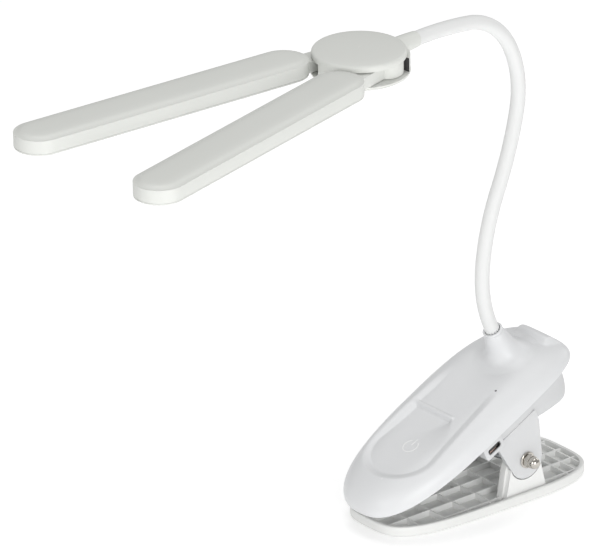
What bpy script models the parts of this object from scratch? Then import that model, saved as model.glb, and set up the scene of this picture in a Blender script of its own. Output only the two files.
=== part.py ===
"""Clip-on reading lamp: sprung clamp, gooseneck, hub and two folding light bars.

World frame: +Z up, X along the clamp with its mouth towards -X, Y along the clamp's pivot bolt.
The flat underside of the lower jaw lies on z = 0. Sizes below are in millimetres.
"""
from math import cos, pi, radians, sin, sqrt

import bmesh
import bpy
from mathutils import Matrix, Vector

MM = 0.001
GAP = 0.3                      # clearance between touching pieces

# Lower jaw
JAW_LENGTH = 139.4
JAW_WIDTH = 63.0
JAW_HEIGHT = 5.8
JAW_TAPER = 0.075              # wider towards the rear
JAW_SHIFT = 0.7
JAW_SQUARENESS = 3.6           # superellipse exponent of the outline
FLOOR = 1.7
RIM = 2.2
RIB = 1.1
RIBS_X = (-51.7, -35.7, -19.7, -3.7, 12.3, 28.3, 50.2, 57.2, 64.8)
CELL_Y = 12.2

# Clamp pivot
PIVOT_X, PIVOT_Z = 18.0, 24.0
EAR_OUTER = 29.0               # |y| of the flush outer faces of both pairs of ears
EAR_WALL = 2.5
EAR_RADIUS = 11.0
BOLT = 4.0

# Upper housing
SHELL_FRONT = 77.5             # from its centre to the nose
SHELL_REAR = 71.0
SHELL_WIDTH = 66.2
NOSE_SQUARENESS = 2.7          # superellipse exponents
REAR_SQUARENESS = 3.35
SHELL_TILT = 27.0
SHELL_X, SHELL_Z = -5.5, 45.7  # centre of the shell's lower edge
DOME = 12.6
DOME_REAR = 8.1                # height at the rear end, above the edge
DROOP = 6.1                    # the edge curves down by this at the rear end
WALL = 1.8
TUB_INSET = 4.3                # tub side inside the shell's edge
LIP_DEPTH = 4.6                # tub under the front of the shell
TUB_DEPTH = 26.6
TUB_TAIL = 3.6                 # its rear wall slopes in by this
BOSS_S = 41.2
BOSS_TOP = 28.8

# Gooseneck
NECK = 8.0
NECK_CORE = 4.2
NECK_BORE = 4.9
NECK_START = 1.2               # first joint above the boss
NECK_ARCS = (38.8, 42.5, 42.5, 42.5, 38.2, 38.2)
NECK_LEAN = SHELL_TILT         # first tangent, towards the mouth from upright
NECK_TURNS = (-32.2, -19.3, 12.2, 43.0, 51.4, 9.0)
NECK_YAW = 4.5                 # the bending plane, turned about the vertical
NECK_SIDES = 16

# Hub
HUB = 49.4
HUB_RIM = 3.4
HUB_HEIGHT = 14.0
DISH = 52.0                    # lower part of the hub, set back by DISH_X
DISH_X = 0.8
HUB_REACH = 41.5               # from the gooseneck's visible end to the hub's centre
HUB_AXIS = 7.2                 # gooseneck axis below the top face's edge
SLOT_TOP, SLOT_BOTTOM = -3.7, -11.2
ARM_X, ARM_Y = 5.1, 13.6
BARREL = 9.6

# Light bars
BAR_START = 27.3               # from the arm's pivot to the bar's near end
BAR_LENGTH = 176.0
BAR_WIDTH = 26.9
BAR_EDGE = -1.5                # crisp upper edge, below the hub's top edge
BAR_SIDE = 8.2
BAR_CROWN = 1.5
BAR_SPLAY = 9.1
BAR_WALL = 1.7
LEDS = 12


# ---------------------------------------------------------------- helpers

def clear_scene():
    for obj in list(bpy.data.objects):
        bpy.data.objects.remove(obj, do_unlink=True)


def material(name, colour, metallic=0.0, roughness=0.5):
    found = bpy.data.materials.get(name)
    if found:
        return found
    made = bpy.data.materials.new(name)
    made.use_nodes = True
    shader = made.node_tree.nodes["Principled BSDF"]
    shader.inputs["Base Color"].default_value = (*colour, 1.0)
    shader.inputs["Metallic"].default_value = metallic
    shader.inputs["Roughness"].default_value = roughness
    return made


def frame(name, matrix):
    """An empty whose matrix is in millimetres; pieces parented to it are built in its axes."""
    empty = bpy.data.objects.new(name, None)
    bpy.context.scene.collection.objects.link(empty)
    placed = matrix.copy()
    placed.translation = matrix.translation * MM
    empty.matrix_world = placed
    return empty


def place(mesh, name, parent, finish, offset=(0, 0, 0), smooth=False):
    obj = bpy.data.objects.new(name, mesh)
    bpy.context.scene.collection.objects.link(obj)
    obj.parent = parent
    obj.location = Vector(offset) * MM
    if finish:
        obj.data.materials.append(finish)
    for face in obj.data.polygons:
        face.use_smooth = smooth
    return obj


def finish_mesh(bm):
    bmesh.ops.recalc_face_normals(bm, faces=bm.faces)
    for vert in bm.verts:
        vert.co *= MM
    mesh = bpy.data.meshes.new("mesh")
    bm.to_mesh(mesh)
    bm.free()
    return mesh


def loft(rings, wrap=False, ladder=False):
    """A closed body through rings of equal count. wrap joins the last ring to the first."""
    bm = bmesh.new()
    made = [[bm.verts.new(p) for p in ring] for ring in rings]
    count = len(rings[0])
    pairs = list(zip(made[:-1], made[1:]))
    if wrap:
        pairs.append((made[-1], made[0]))
    for low, high in pairs:
        for i in range(count):
            j = (i + 1) % count
            bm.faces.new((low[i], low[j], high[j], high[i]))
    if not wrap:
        for ring in (made[0], made[-1]):
            if ladder:
                cap_ladder(bm, ring)
            else:
                bm.faces.new(ring)
    return finish_mesh(bm)


def cap_ladder(bm, ring):
    """Closes a ring that mirrors about its first point, with strips across it."""
    count = len(ring)
    half = count // 2
    for i in range(half):
        a, b = ring[i], ring[i + 1]
        c, d = ring[(count - i - 1) % count], ring[(count - i) % count]
        corners = []
        for vert in (a, b, c, d):
            if vert not in corners:
                corners.append(vert)
        if len(corners) > 2:
            bm.faces.new(corners)


def lathe(profile, sides, wrap=False):
    """Turns (radius, height) points about Z. A radius of 0 becomes a pole."""
    bm = bmesh.new()
    rows = []
    for radius, height in profile:
        if radius < 1e-6:
            rows.append([bm.verts.new((0, 0, height))])
        else:
            rows.append([
                bm.verts.new((radius * cos(2 * pi * i / sides), radius * sin(2 * pi * i / sides), height))
                for i in range(sides)
            ])
    pairs = list(zip(rows[:-1], rows[1:]))
    if wrap:
        pairs.append((rows[-1], rows[0]))
    for low, high in pairs:
        for i in range(sides):
            j = (i + 1) % sides
            if len(low) == 1:
                bm.faces.new((low[0], high[j], high[i]))
            elif len(high) == 1:
                bm.faces.new((low[i], low[j], high[0]))
            else:
                bm.faces.new((low[i], low[j], high[j], high[i]))
    if not wrap:
        for row in (rows[0], rows[-1]):
            if len(row) > 1:
                bm.faces.new(row)
    return finish_mesh(bm)


def slab(outline, low, high, axis="z"):
    """An outline of (a, b) points swept between two levels: along z from (x, y), along y from (x, z)."""
    if axis == "z":
        return loft([[(a, b, level) for a, b in outline] for level in (low, high)])
    return loft([[(a, level, b) for a, b in outline] for level in (low, high)])


def boxes(spans):
    """One mesh of separate boxes, each ((x0, x1), (y0, y1), (z0, z1))."""
    bm = bmesh.new()
    for xs, ys, zs in spans:
        corners = [bm.verts.new((x, y, z)) for z in zs for y in ys for x in xs]
        for face in ((0, 1, 3, 2), (4, 6, 7, 5), (0, 4, 5, 1), (2, 3, 7, 6), (0, 2, 6, 4), (1, 5, 7, 3)):
            bm.faces.new([corners[i] for i in face])
    return finish_mesh(bm)


def apply_boolean(target, mesh, operation, offset=(0, 0, 0), turn=None):
    """Adds a Boolean to target with a hidden helper in the same axes."""
    helper = bpy.data.objects.new(target.name + ".helper", mesh)
    bpy.context.scene.collection.objects.link(helper)
    helper.parent = target.parent
    helper.location = target.location + Vector(offset) * MM
    if turn is not None:
        helper.rotation_euler = turn.to_euler()
    helper.hide_render = True
    helper.display_type = "WIRE"
    step = target.modifiers.new(operation.title(), "BOOLEAN")
    step.operation = operation
    step.solver = "EXACT"
    step.object = helper
    return helper


def cut(target, mesh, offset=(0, 0, 0), turn=None):
    return apply_boolean(target, mesh, "DIFFERENCE", offset, turn)


def fuse(target, mesh, offset=(0, 0, 0), turn=None):
    return apply_boolean(target, mesh, "UNION", offset, turn)


def superellipse(length, width, power, count, inset=0.0, taper=0.0):
    """Outline points (x, y), the first at +X, mirrored about the X axis."""
    a, b = length / 2 - inset, width / 2 - inset
    points = []
    for i in range(count):
        t = 2 * pi * i / count
        x = abs(cos(t)) ** (2 / power) * (1 if cos(t) >= 0 else -1)
        y = abs(sin(t)) ** (2 / power) * (1 if sin(t) >= 0 else -1)
        if i == count // 2:
            x, y = -1.0, 0.0
        elif i == 0:
            x, y = 1.0, 0.0
        points.append((a * x, b * y * (1 + taper * x)))
    return points


def stadium(start, length, width, inset=0.0, steps=12):
    """Outline of a light bar lying along -X, its near end at -start."""
    radius = width / 2 - inset
    near, far = -start - width / 2, -start - length + width / 2
    points = []
    for i in range(steps + 1):
        t = -pi / 2 + pi * i / steps
        points.append((near + radius * cos(t), radius * sin(t)))
    for i in range(steps + 1):
        t = pi / 2 + pi * i / steps
        points.append((far + radius * cos(t), radius * sin(t)))
    return points


def arc(cx, cy, radius, start, end, steps):
    return [
        (cx + radius * cos(radians(start + (end - start) * i / steps)),
         cy + radius * sin(radians(start + (end - start) * i / steps)))
        for i in range(steps + 1)
    ]


def rounded(x0, x1, y0, y1, radius, steps=3):
    return (
        arc(x1 - radius, y1 - radius, radius, 0, 90, steps)
        + arc(x0 + radius, y1 - radius, radius, 90, 180, steps)
        + arc(x0 + radius, y0 + radius, radius, 180, 270, steps)
        + arc(x1 - radius, y0 + radius, radius, 270, 360, steps)
    )


def cylinder(radius, low, high, sides=20):
    return lathe([(0, low), (radius, low), (radius, high), (0, high)], sides)


ALONG_Y = Matrix.Rotation(-pi / 2, 3, "X")    # turns a lathed Z axis onto +Y
ALONG_X = Matrix.Rotation(pi / 2, 3, "Y")     # turns a lathed Z axis onto +X


# ---------------------------------------------------------------- frames

def shell_matrix():
    """Axes of the upper housing: x up its length towards the rear, z out of its top."""
    return Matrix.Translation((PIVOT_X, 0, PIVOT_Z)) @ Matrix.Rotation(-radians(SHELL_TILT), 4, "Y")


def pivot_in_shell():
    tilt = radians(SHELL_TILT)
    dx, dz = PIVOT_X - SHELL_X, PIVOT_Z - SHELL_Z
    return dx * cos(tilt) + dz * sin(tilt), -dx * sin(tilt) + dz * cos(tilt)


PIVOT_S, PIVOT_N = pivot_in_shell()
SHELL_OFFSET = (-PIVOT_S, 0, -PIVOT_N)


def neck_points(fine=24):
    """The gooseneck's centre line in its plane: per bend, a list of (r, z, tangent angle)."""
    tilt = radians(SHELL_TILT)
    r, z = 0.0, SHELL_Z + BOSS_S * sin(tilt) + (BOSS_TOP + NECK_START) * cos(tilt)
    angle = radians(NECK_LEAN)
    bends = []
    for length, turn in zip(NECK_ARCS, NECK_TURNS):
        bend = [(r, z, angle)]
        for _ in range(fine):
            mid = angle + radians(turn) / fine / 2
            r -= length / fine * sin(mid)
            z += length / fine * cos(mid)
            angle += radians(turn) / fine
            bend.append((r, z, angle))
        bends.append(bend)
    return bends


def neck_matrix(point):
    """Axes at a point of the gooseneck: z along it, y across its bending plane."""
    r, z, angle = point
    yaw = radians(NECK_YAW)
    tilt = radians(SHELL_TILT)
    foot = SHELL_X + BOSS_S * cos(tilt) - (BOSS_TOP + NECK_START) * sin(tilt)
    out = Vector((cos(yaw), sin(yaw), 0))
    up = Vector((0, 0, 1))
    along = -sin(angle) * out + cos(angle) * up
    across = Vector((-sin(yaw), cos(yaw), 0))
    inward = cos(angle) * out + sin(angle) * up
    turned = Matrix((inward, across, along)).transposed().to_4x4()
    turned.translation = Vector((foot, 0, z)) + r * out
    return turned


def hub_matrix():
    """Axes of the hub: origin at the centre of its top edge, x towards the gooseneck."""
    end = neck_matrix(neck_points()[-1][-1])
    turned = Matrix((-end.col[2].xyz, end.col[1].xyz, end.col[0].xyz)).transposed()
    if turned.determinant() < 0:
        turned = Matrix((-end.col[2].xyz, -end.col[1].xyz, end.col[0].xyz)).transposed()
    placed = turned.to_4x4()
    placed.translation = end.translation - placed.col[0].xyz * HUB_REACH + placed.col[2].xyz * HUB_AXIS
    return placed


def arm_matrix(side):
    return (
        hub_matrix()
        @ Matrix.Translation((ARM_X, side * ARM_Y, 0))
        @ Matrix.Rotation(-side * radians(BAR_SPLAY), 4, "Z")
    )


# ---------------------------------------------------------------- lower jaw

def jaw_ring(inset, level):
    return [(x + JAW_SHIFT, y, level) for x, y in superellipse(JAW_LENGTH, JAW_WIDTH, JAW_SQUARENESS, 56, inset, JAW_TAPER)]


def make_lower_jaw(root, plastic):
    """Ribbed tray with its two pairs of ear walls for the pivot."""
    jaw = place(
        loft([jaw_ring(1.2, 0), jaw_ring(0.3, 0.5), jaw_ring(0, 1.4), jaw_ring(0, JAW_HEIGHT - 0.6),
              jaw_ring(0.5, JAW_HEIGHT)]),
        "lower_jaw", root, plastic)
    pocket = cut(jaw, loft([jaw_ring(RIM, FLOOR), jaw_ring(RIM, JAW_HEIGHT + 2)]))
    ribs = []
    half_x, half_y = JAW_LENGTH / 2, JAW_WIDTH / 2
    for x in RIBS_X:
        ribs.append(((x - RIB / 2, x + RIB / 2), (-half_y, half_y), (-1, JAW_HEIGHT - 1.0)))
    across = int(half_y // CELL_Y)
    for i in range(-across, across + 1):
        y = i * CELL_Y
        ribs.append(((-half_x, half_x), (y - RIB / 2, y + RIB / 2), (-1, JAW_HEIGHT - 0.9)))
    for xs, ys, zs in ribs:
        cut(pocket, boxes([(xs, ys, zs)]))
    for side in (-1, 1):
        inner = [(2.6, 1.0), (5.4, 20.0)]
        inner += arc(PIVOT_X, PIVOT_Z, 10.4, 165, 15, 8)
        inner += [(30.6, 20.0), (33.4, 1.0)]
        thin, thick = EAR_OUTER - EAR_WALL - GAP, EAR_OUTER - 7.0
        fuse(jaw, slab(inner, *sorted((side * thick, side * thin)), axis="y"))
        pad = [(3.4, 1.1), (6.0, 20.6)]
        pad += arc(PIVOT_X, PIVOT_Z, EAR_RADIUS + 0.5, 197, 333, 10)
        pad += [(32.6, 1.1)]
        fuse(jaw, slab(pad, *sorted((side * (thick + 0.1), side * EAR_OUTER)), axis="y"))
    cut(jaw, cylinder(BOLT / 2 + 0.2, -40, 40), (PIVOT_X, 0, PIVOT_Z), ALONG_Y)
    return jaw


def make_bolt_set(root, steel, nickel):
    """Through bolt, its washers and the domed cap nut on the -Y side."""
    where = (PIVOT_X, 0, PIVOT_Z)
    radius = BOLT / 2
    tip, seat = -EAR_OUTER - 3.4, EAR_OUTER + 0.8 + 2 * GAP
    bolt = place(
        lathe([(0, tip), (radius, tip), (radius, seat), (4.0, seat), (4.0, seat + 1.4),
               (3.0, seat + 2.6), (0, seat + 3.0)], 20),
        "pivot_bolt", root, nickel, where, True)
    bolt.rotation_euler = ALONG_Y.to_euler()
    for name, low in (("washer_nut_side", -EAR_OUTER - GAP - 0.8), ("washer_head_side", EAR_OUTER + GAP)):
        washer = place(
            lathe([(radius + GAP, low), (4.6, low), (4.6, low + 0.8), (radius + GAP, low + 0.8)], 24, wrap=True),
            name, root, nickel, where, True)
        washer.rotation_euler = ALONG_Y.to_euler()
    base = -EAR_OUTER - 2 * GAP - 0.8
    hexagon = [(7.66 / 2 * cos(radians(60 * i)), 7.66 / 2 * sin(radians(60 * i))) for i in range(6)]
    nut = place(slab(hexagon, base - 3.2, base), "cap_nut", root, nickel, where)
    nut.rotation_euler = ALONG_Y.to_euler()
    dome = [(0, base - 7.6), (1.5, base - 7.25), (2.6, base - 6.2), (3.2, base - 4.6), (3.25, base - 2.0),
            (0, base - 2.0)]
    fuse(nut, lathe(dome, 20), turn=ALONG_Y)
    cut(nut, cylinder(radius + 0.25, base - 3.4, base + 1), turn=ALONG_Y)
    sleeve = place(
        lathe([(radius + GAP, -21.4), (3.4, -21.4), (3.4, 21.4), (radius + GAP, 21.4)], 20, wrap=True),
        "pivot_sleeve", root, steel, where, True)
    sleeve.rotation_euler = ALONG_Y.to_euler()


def make_spring(root, steel):
    """Torsion spring round the sleeve, one leg up under the tub and one down on the tray."""
    wire, coil, turns, pitch = 0.9, 5.6, 6, 2.6
    sides, steps = 8, 14
    route = []
    span = turns * pitch
    start, end = radians(-58), radians(38)
    total = turns * 2 * pi + (end - start)
    low_leg = Vector((23.0, -span / 2, -17.4))
    for i in range(4):
        route.append(low_leg.lerp(Vector((coil * cos(start), -span / 2, coil * sin(start))), i / 4))
    count = turns * steps
    for i in range(count + 1):
        t = start + total * i / count
        route.append(Vector((coil * cos(t), -span / 2 + span * i / count, coil * sin(t))))
    last = route[-1]
    leg_end = Vector((31.5, span / 2, 15.2))
    for i in range(1, 5):
        route.append(last.lerp(leg_end, i / 4))
    rings = []
    for i, point in enumerate(route):
        before, after = route[max(i - 1, 0)], route[min(i + 1, len(route) - 1)]
        along = (after - before).normalized()
        side = along.cross(Vector((0, 1, 0))).normalized()
        up = side.cross(along).normalized()
        rings.append([
            point + wire * (cos(2 * pi * k / sides) * side + sin(2 * pi * k / sides) * up) for k in range(sides)
        ])
    place(loft(rings), "torsion_spring", root, steel, (PIVOT_X, 0, PIVOT_Z), True)


# ---------------------------------------------------------------- upper housing

def outline_point(t, inset, tail):
    """Point of the housing's outline seen from above, at angle t, moved in by inset."""
    squareness = REAR_SQUARENESS if cos(t) > 0 else NOSE_SQUARENESS
    reach = SHELL_REAR - tail if cos(t) > 0 else SHELL_FRONT
    x = abs(cos(t)) ** (2 / squareness) * (reach - inset)
    y = abs(sin(t)) ** (2 / squareness) * (SHELL_WIDTH / 2 - inset)
    return (x if cos(t) > 0 else -x), (y if sin(t) > 0 else -y)


def housing_outline(inset, tail=0.0):
    """Starts at the rear and mirrors about the long axis. tail shortens the rear only."""
    half = OUTLINE_POINTS // 2
    side = [outline_point(pi * i / half, inset, tail) for i in range(1, half)]
    return [(SHELL_REAR - tail - inset, 0.0)] + side + [(inset - SHELL_FRONT, 0.0)] + [(x, -y) for x, y in side[::-1]]


def edge_level(x):
    return -DROOP * (max(x, 0.0) / SHELL_REAR) ** 3


def dome_height(x):
    return DOME - (DOME - DOME_REAR) * (max(x, 0.0) / SHELL_REAR) ** 2


def dome_rings(drop=0.0, inset=0.0, start=0):
    return [
        [(x, y, edge_level(x) + dome_height(x) * share - drop) for x, y in housing_outline(step + inset)]
        for step, share in DOME_PROFILE[start:]
    ]


def panel_outline(half_width, front, rear):
    """U-shaped outline of the recessed panel, open towards the rear."""
    front_arc = [
        (front + half_width * 0.95 * (1 - cos(t)) , half_width * sin(t))
        for t in [pi / 2 * i / 9 for i in range(-9, 10)]
    ]
    return front_arc + [(rear, half_width * 0.86), (rear, -half_width * 0.86)]


def make_top_shell(clamp, plastic):
    """Domed top with the recessed control panel, thumb rest and gooseneck boss."""
    shell = place(loft(dome_rings(), ladder=True), "top_shell", clamp, plastic, SHELL_OFFSET)
    fuse(shell, loft([
        [(64.0 + 3.6 * cos(t) - 0.01 * y * y, y, 1.2 + rise * max(sin(t), -0.7)) for t in
         [2 * pi * i / 10 for i in range(10)]]
        for y, rise in ((-12.0, 2.0), (-10.5, 4.6), (-5.0, 5.4), (0.0, 5.6), (5.0, 5.4), (10.5, 4.6), (12.0, 2.0))
    ]))
    foot = edge_level(BOSS_S) + dome_height(BOSS_S)
    tall = BOSS_TOP - foot
    boss = [(0, foot - 4.6), (15.5, foot - 4.6), (15.2, foot - 0.9), (13.0, foot + 0.3), (10.4, foot + 0.12 * tall),
            (8.3, foot + 0.28 * tall), (6.9, foot + 0.5 * tall), (5.9, foot + 0.74 * tall),
            (5.3, BOSS_TOP - 1.3), (5.3, BOSS_TOP - 0.3), (5.0, BOSS_TOP), (0, BOSS_TOP)]
    fuse(shell, lathe(boss, 28), (BOSS_S, 0, 0))
    for half_width, front, rear, depth in ((23.5, -56.5, 17.0, 0.9), (19.5, -52.5, -7.0, 1.7)):
        cutter = cut(shell, slab(panel_outline(half_width, front, rear), 2.0, DOME + 6))
        floor = loft(dome_rings(depth), ladder=True)
        tilt = Matrix.Rotation(radians(-0.75 if depth < 1 else -0.3), 3, "Y")
        cut(cutter, floor, turn=tilt)
    hollow = [[(x, y, edge_level(x) - 2.0) for x, y in housing_outline(WALL)]]
    hollow += dome_rings(WALL + 1.5, WALL, 1)
    cut(shell, loft(hollow, ladder=True))
    cut(shell, cylinder(NECK / 2 + GAP, 4.0, BOSS_TOP + 2), (BOSS_S, 0, 0))
    cut(shell, cylinder(0.9 + 0.2, 4.0, BOSS_TOP), (17.8, -18.2, 0))
    for s, y in TUB_SCREWS:
        edge = edge_level(s)
        fuse(shell, cylinder(3.0, edge + 0.6, edge + 8.0, 14), (s, y, 0))
        cut(shell, cylinder(1.15, edge - 1.0, edge + 6.5, 12), (s, y, 0))
    return shell


TUB_SCREWS = ((-52.0, 12.5), (-52.0, -12.5), (56.0, 13.5), (56.0, -13.5))
OUTLINE_POINTS = 56
DOME_PROFILE = ((0, 0.0), (0.25, 0.19), (1.6, 0.445), (4.4, 0.683), (9.0, 0.865), (15.0, 0.96), (22.0, 1.0))


def tub_floor(s):
    """Depth of the tub's underside, along its length."""
    marks = ((-90, -LIP_DEPTH), (-13, -LIP_DEPTH - 0.4), (-7, -8.4), (3, -10.8), (30, -16.4), (46, -22.6),
             (53, -TUB_DEPTH + 0.6), (57, -TUB_DEPTH), (60, -TUB_DEPTH + 1.8), (62.5, -TUB_DEPTH + 6.0),
             (65, -TUB_DEPTH + 12.0), (80, -TUB_DEPTH + 14.0))
    for (s0, n0), (s1, n1) in zip(marks[:-1], marks[1:]):
        if s0 <= s <= s1:
            return n0 + (n1 - n0) * (s - s0) / (s1 - s0)
    return marks[-1][1]


def tub_ring(inset, share, raised=0.0):
    """share runs from 0 at the tub's rim to 1 at its underside; raised lifts the underside."""
    ring = []
    for x, y in housing_outline(inset, TUB_TAIL * min(max(share, 0.0) * 2, 1.0)):
        top = edge_level(x) - GAP
        ring.append((x, y, top + (tub_floor(x) + raised - top) * share))
    return ring


def ear_outline():
    """Ear of the housing in its own axes, round the pivot and up into the tub."""
    points = arc(PIVOT_S, PIVOT_N, EAR_RADIUS, 180, 345, 12)
    points += [(PIVOT_S + 17.2, -15.0), (PIVOT_S + 17.6, -8.0), (PIVOT_S - 13.0, -8.0), (PIVOT_S - 12.4, -14.0)]
    return points


def make_lower_tub(clamp, plastic):
    """Lower half of the housing: tray, ears, port block and screw bosses."""
    tub = place(
        loft([tub_ring(TUB_INSET, 0), tub_ring(TUB_INSET + 0.2, 0.55), tub_ring(TUB_INSET + 0.9, 0.84),
              tub_ring(TUB_INSET + 3.0, 1.0)], ladder=True),
        "lower_tub", clamp, plastic, SHELL_OFFSET)
    for side in (-1, 1):
        ys = sorted((side * (EAR_OUTER - EAR_WALL), side * EAR_OUTER))
        fuse(tub, slab(ear_outline(), *ys, axis="y"))
    block = slab(rounded(-11.2, 2.6, -9.6, -0.5, 1.6), -31.2, -24.0, axis="y")
    fuse(tub, block)
    inner = TUB_INSET + WALL
    cut(tub, loft([tub_ring(inner, -0.4, WALL), tub_ring(inner, 0.55, WALL), tub_ring(inner + 0.9, 0.84, WALL),
                   tub_ring(inner + 3.0, 1.0, WALL)], ladder=True))
    cut(tub, slab(rounded(*PORT_S, *PORT_N, 1.2), -33, -22.5, axis="y"))
    cut(tub, cylinder(BOLT / 2 + 0.25, -40, 40), (PIVOT_S, 0, PIVOT_N), ALONG_Y)
    for s, y in TUB_SCREWS:
        deep, top = tub_floor(s), edge_level(s) - GAP
        fuse(tub, cylinder(3.4, deep + 0.6, top, 16), (s, y, 0))
        cut(tub, cylinder(1.5, deep - 4, 2, 12), (s, y, 0))
        if deep < -8:
            cut(tub, cylinder(2.6, deep - 4, deep + 16.0, 14), (s, y, 0))
        else:
            cut(tub, cylinder(2.6, deep - 4, deep + 2.2, 14), (s, y, 0))
    return tub


PORT_S = (-8.6, 0.4)
PORT_N = (-7.3, -3.9)


def make_housing_insides(clamp, finishes):
    """Cell, boards, port, touch plate, indicator pipe and screws inside the housing."""
    place(slab(rounded(10, 49, -17, 17, 3), -10.3, -2.5), "battery_cell", clamp, finishes["cell"], SHELL_OFFSET)
    board = place(slab(rounded(-46, 12, -16, 16, 2), 0.8, 2.4), "control_board", clamp, finishes["board"],
                  SHELL_OFFSET)
    fuse(board, boxes([((-20, -12), (-6, 6), (2.0, 4.0)), ((-8, -3), (4, 10), (2.0, 3.6)),
                       ((2, 8), (-12, -4), (2.0, 4.4))]))
    seat = PORT_N[1] - 0.35 + GAP
    place(slab(rounded(-10.4, 6, -25.0, -8, 1), seat, seat + 1.2), "port_board", clamp, finishes["board"],
          SHELL_OFFSET)
    port = place(slab(rounded(PORT_S[0] + 0.35, PORT_S[1] - 0.35, PORT_N[0] + 0.35, PORT_N[1] - 0.35, 1.1, 4),
                      -31.0, -22.8, axis="y"), "charge_port", clamp, finishes["nickel"], SHELL_OFFSET)
    cut(port, slab(rounded(PORT_S[0] + 0.65, PORT_S[1] - 0.65, PORT_N[0] + 0.65, PORT_N[1] - 0.65, 0.8, 4),
                   -32, -25.0, axis="y"))
    fuse(port, boxes([((PORT_S[0] + 2.0, PORT_S[1] - 2.0), (-30.4, -24.0), (-5.9, -5.3))]))
    place(cylinder(6.5, 0, 0.8, 24), "touch_sensor", clamp, finishes["copper"],
          (-31.0 - PIVOT_S, 0, 7.4 - PIVOT_N))
    place(cylinder(0.9, 0, 8.6, 14), "indicator_pipe", clamp, finishes["clear"],
          (17.8 - PIVOT_S, -18.2, 2.75 - PIVOT_N), True)
    for number, (s, y) in enumerate(TUB_SCREWS, 1):
        deep, tip = tub_floor(s), edge_level(s) + 6.1
        seat = deep + 16.0 if deep < -8 else deep + 2.2
        place(lathe([(0, seat - 1.6), (2.1, seat - 1.6), (2.1, seat - 0.25), (0.95, seat - 0.25),
                     (0.95, tip), (0, tip)], 12),
              f"housing_screw_{number}", clamp, finishes["steel"], (s - PIVOT_S, y, -PIVOT_N), True)
    foot = BOSS_TOP + NECK_START
    ceiling = edge_level(BOSS_S) + dome_height(BOSS_S) - WALL - 2.2
    low = ceiling - 4.8
    place(
        lathe([(0, low), (NECK / 2, low), (NECK / 2, foot)]
              + [(NECK / 2 * cos(t), foot + NECK / 2 * sin(t)) for t in (radians(25), radians(50), radians(72))]
              + [(0, foot + NECK / 2)], NECK_SIDES),
        "neck_base_fitting", clamp, finishes["steel"], (BOSS_S - PIVOT_S, 0, -PIVOT_N), True)
    nut = place(slab([(6.4 * cos(radians(60 * i)), 6.4 * sin(radians(60 * i))) for i in range(6)],
                     ceiling - 3.7, ceiling - 0.5),
                "neck_lock_nut", clamp, finishes["steel"], (BOSS_S - PIVOT_S, 0, -PIVOT_N))
    cut(nut, cylinder(NECK / 2 + GAP, ceiling - 6, ceiling + 1))


# ---------------------------------------------------------------- gooseneck

def swept(bend, spans, sides, home):
    """Rings round the bend. spans are (share of the bend, shift along its tangent, radius)."""
    rings = []
    inverse = home.inverted()
    for share, shift, radius in spans:
        index = min(int(round(share * (len(bend) - 1))), len(bend) - 1)
        here = inverse @ neck_matrix(bend[index])
        rings.append([
            here @ Vector((radius * cos(2 * pi * k / sides), radius * sin(2 * pi * k / sides), shift))
            for k in range(sides)
        ])
    return rings


def make_gooseneck(frames, finishes):
    """Six sleeve lengths, each dished at its lower joint and rounded at its upper one, over steel cores."""
    radius, bore, core = NECK / 2, NECK_BORE / 2, NECK_CORE / 2
    dish = radius + GAP
    for number, bend in enumerate(neck_points(), 1):
        home = neck_matrix(bend[0])
        last = number == len(NECK_TURNS)
        spans = [(0, sqrt(dish ** 2 - radius ** 2), radius)]
        spans += [(share / 6, 0, radius) for share in range(1, 6)]
        if last:
            spans += [(1, -GAP, radius), (1, -GAP, bore)]
        else:
            spans += [(1, 0, radius)]
            spans += [(1, radius * sin(t), radius * cos(t)) for t in (radians(22), radians(40))]
            spans += [(1, sqrt(radius ** 2 - bore ** 2), bore)]
        spans += [(share / 4, 0, bore) for share in (3, 2, 1)]
        spans += [(0, sqrt(dish ** 2 - bore ** 2), bore), (0, dish * sin(radians(35)), dish * cos(radians(35)))]
        place(loft(swept(bend, spans, NECK_SIDES, home), wrap=True),
              f"neck_sleeve_{number}", frames[number - 1], finishes["sleeve"], smooth=True)
        inner = [(0, 5.2, core)] + [(share / 5, 0, core) for share in range(1, 5)]
        inner += [(1, 11.0 if last else 0.0, core)]
        place(loft(swept(bend, inner, 10, home)),
              f"neck_core_{number}", frames[number - 1], finishes["steel"], smooth=True)


# ---------------------------------------------------------------- hub

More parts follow.
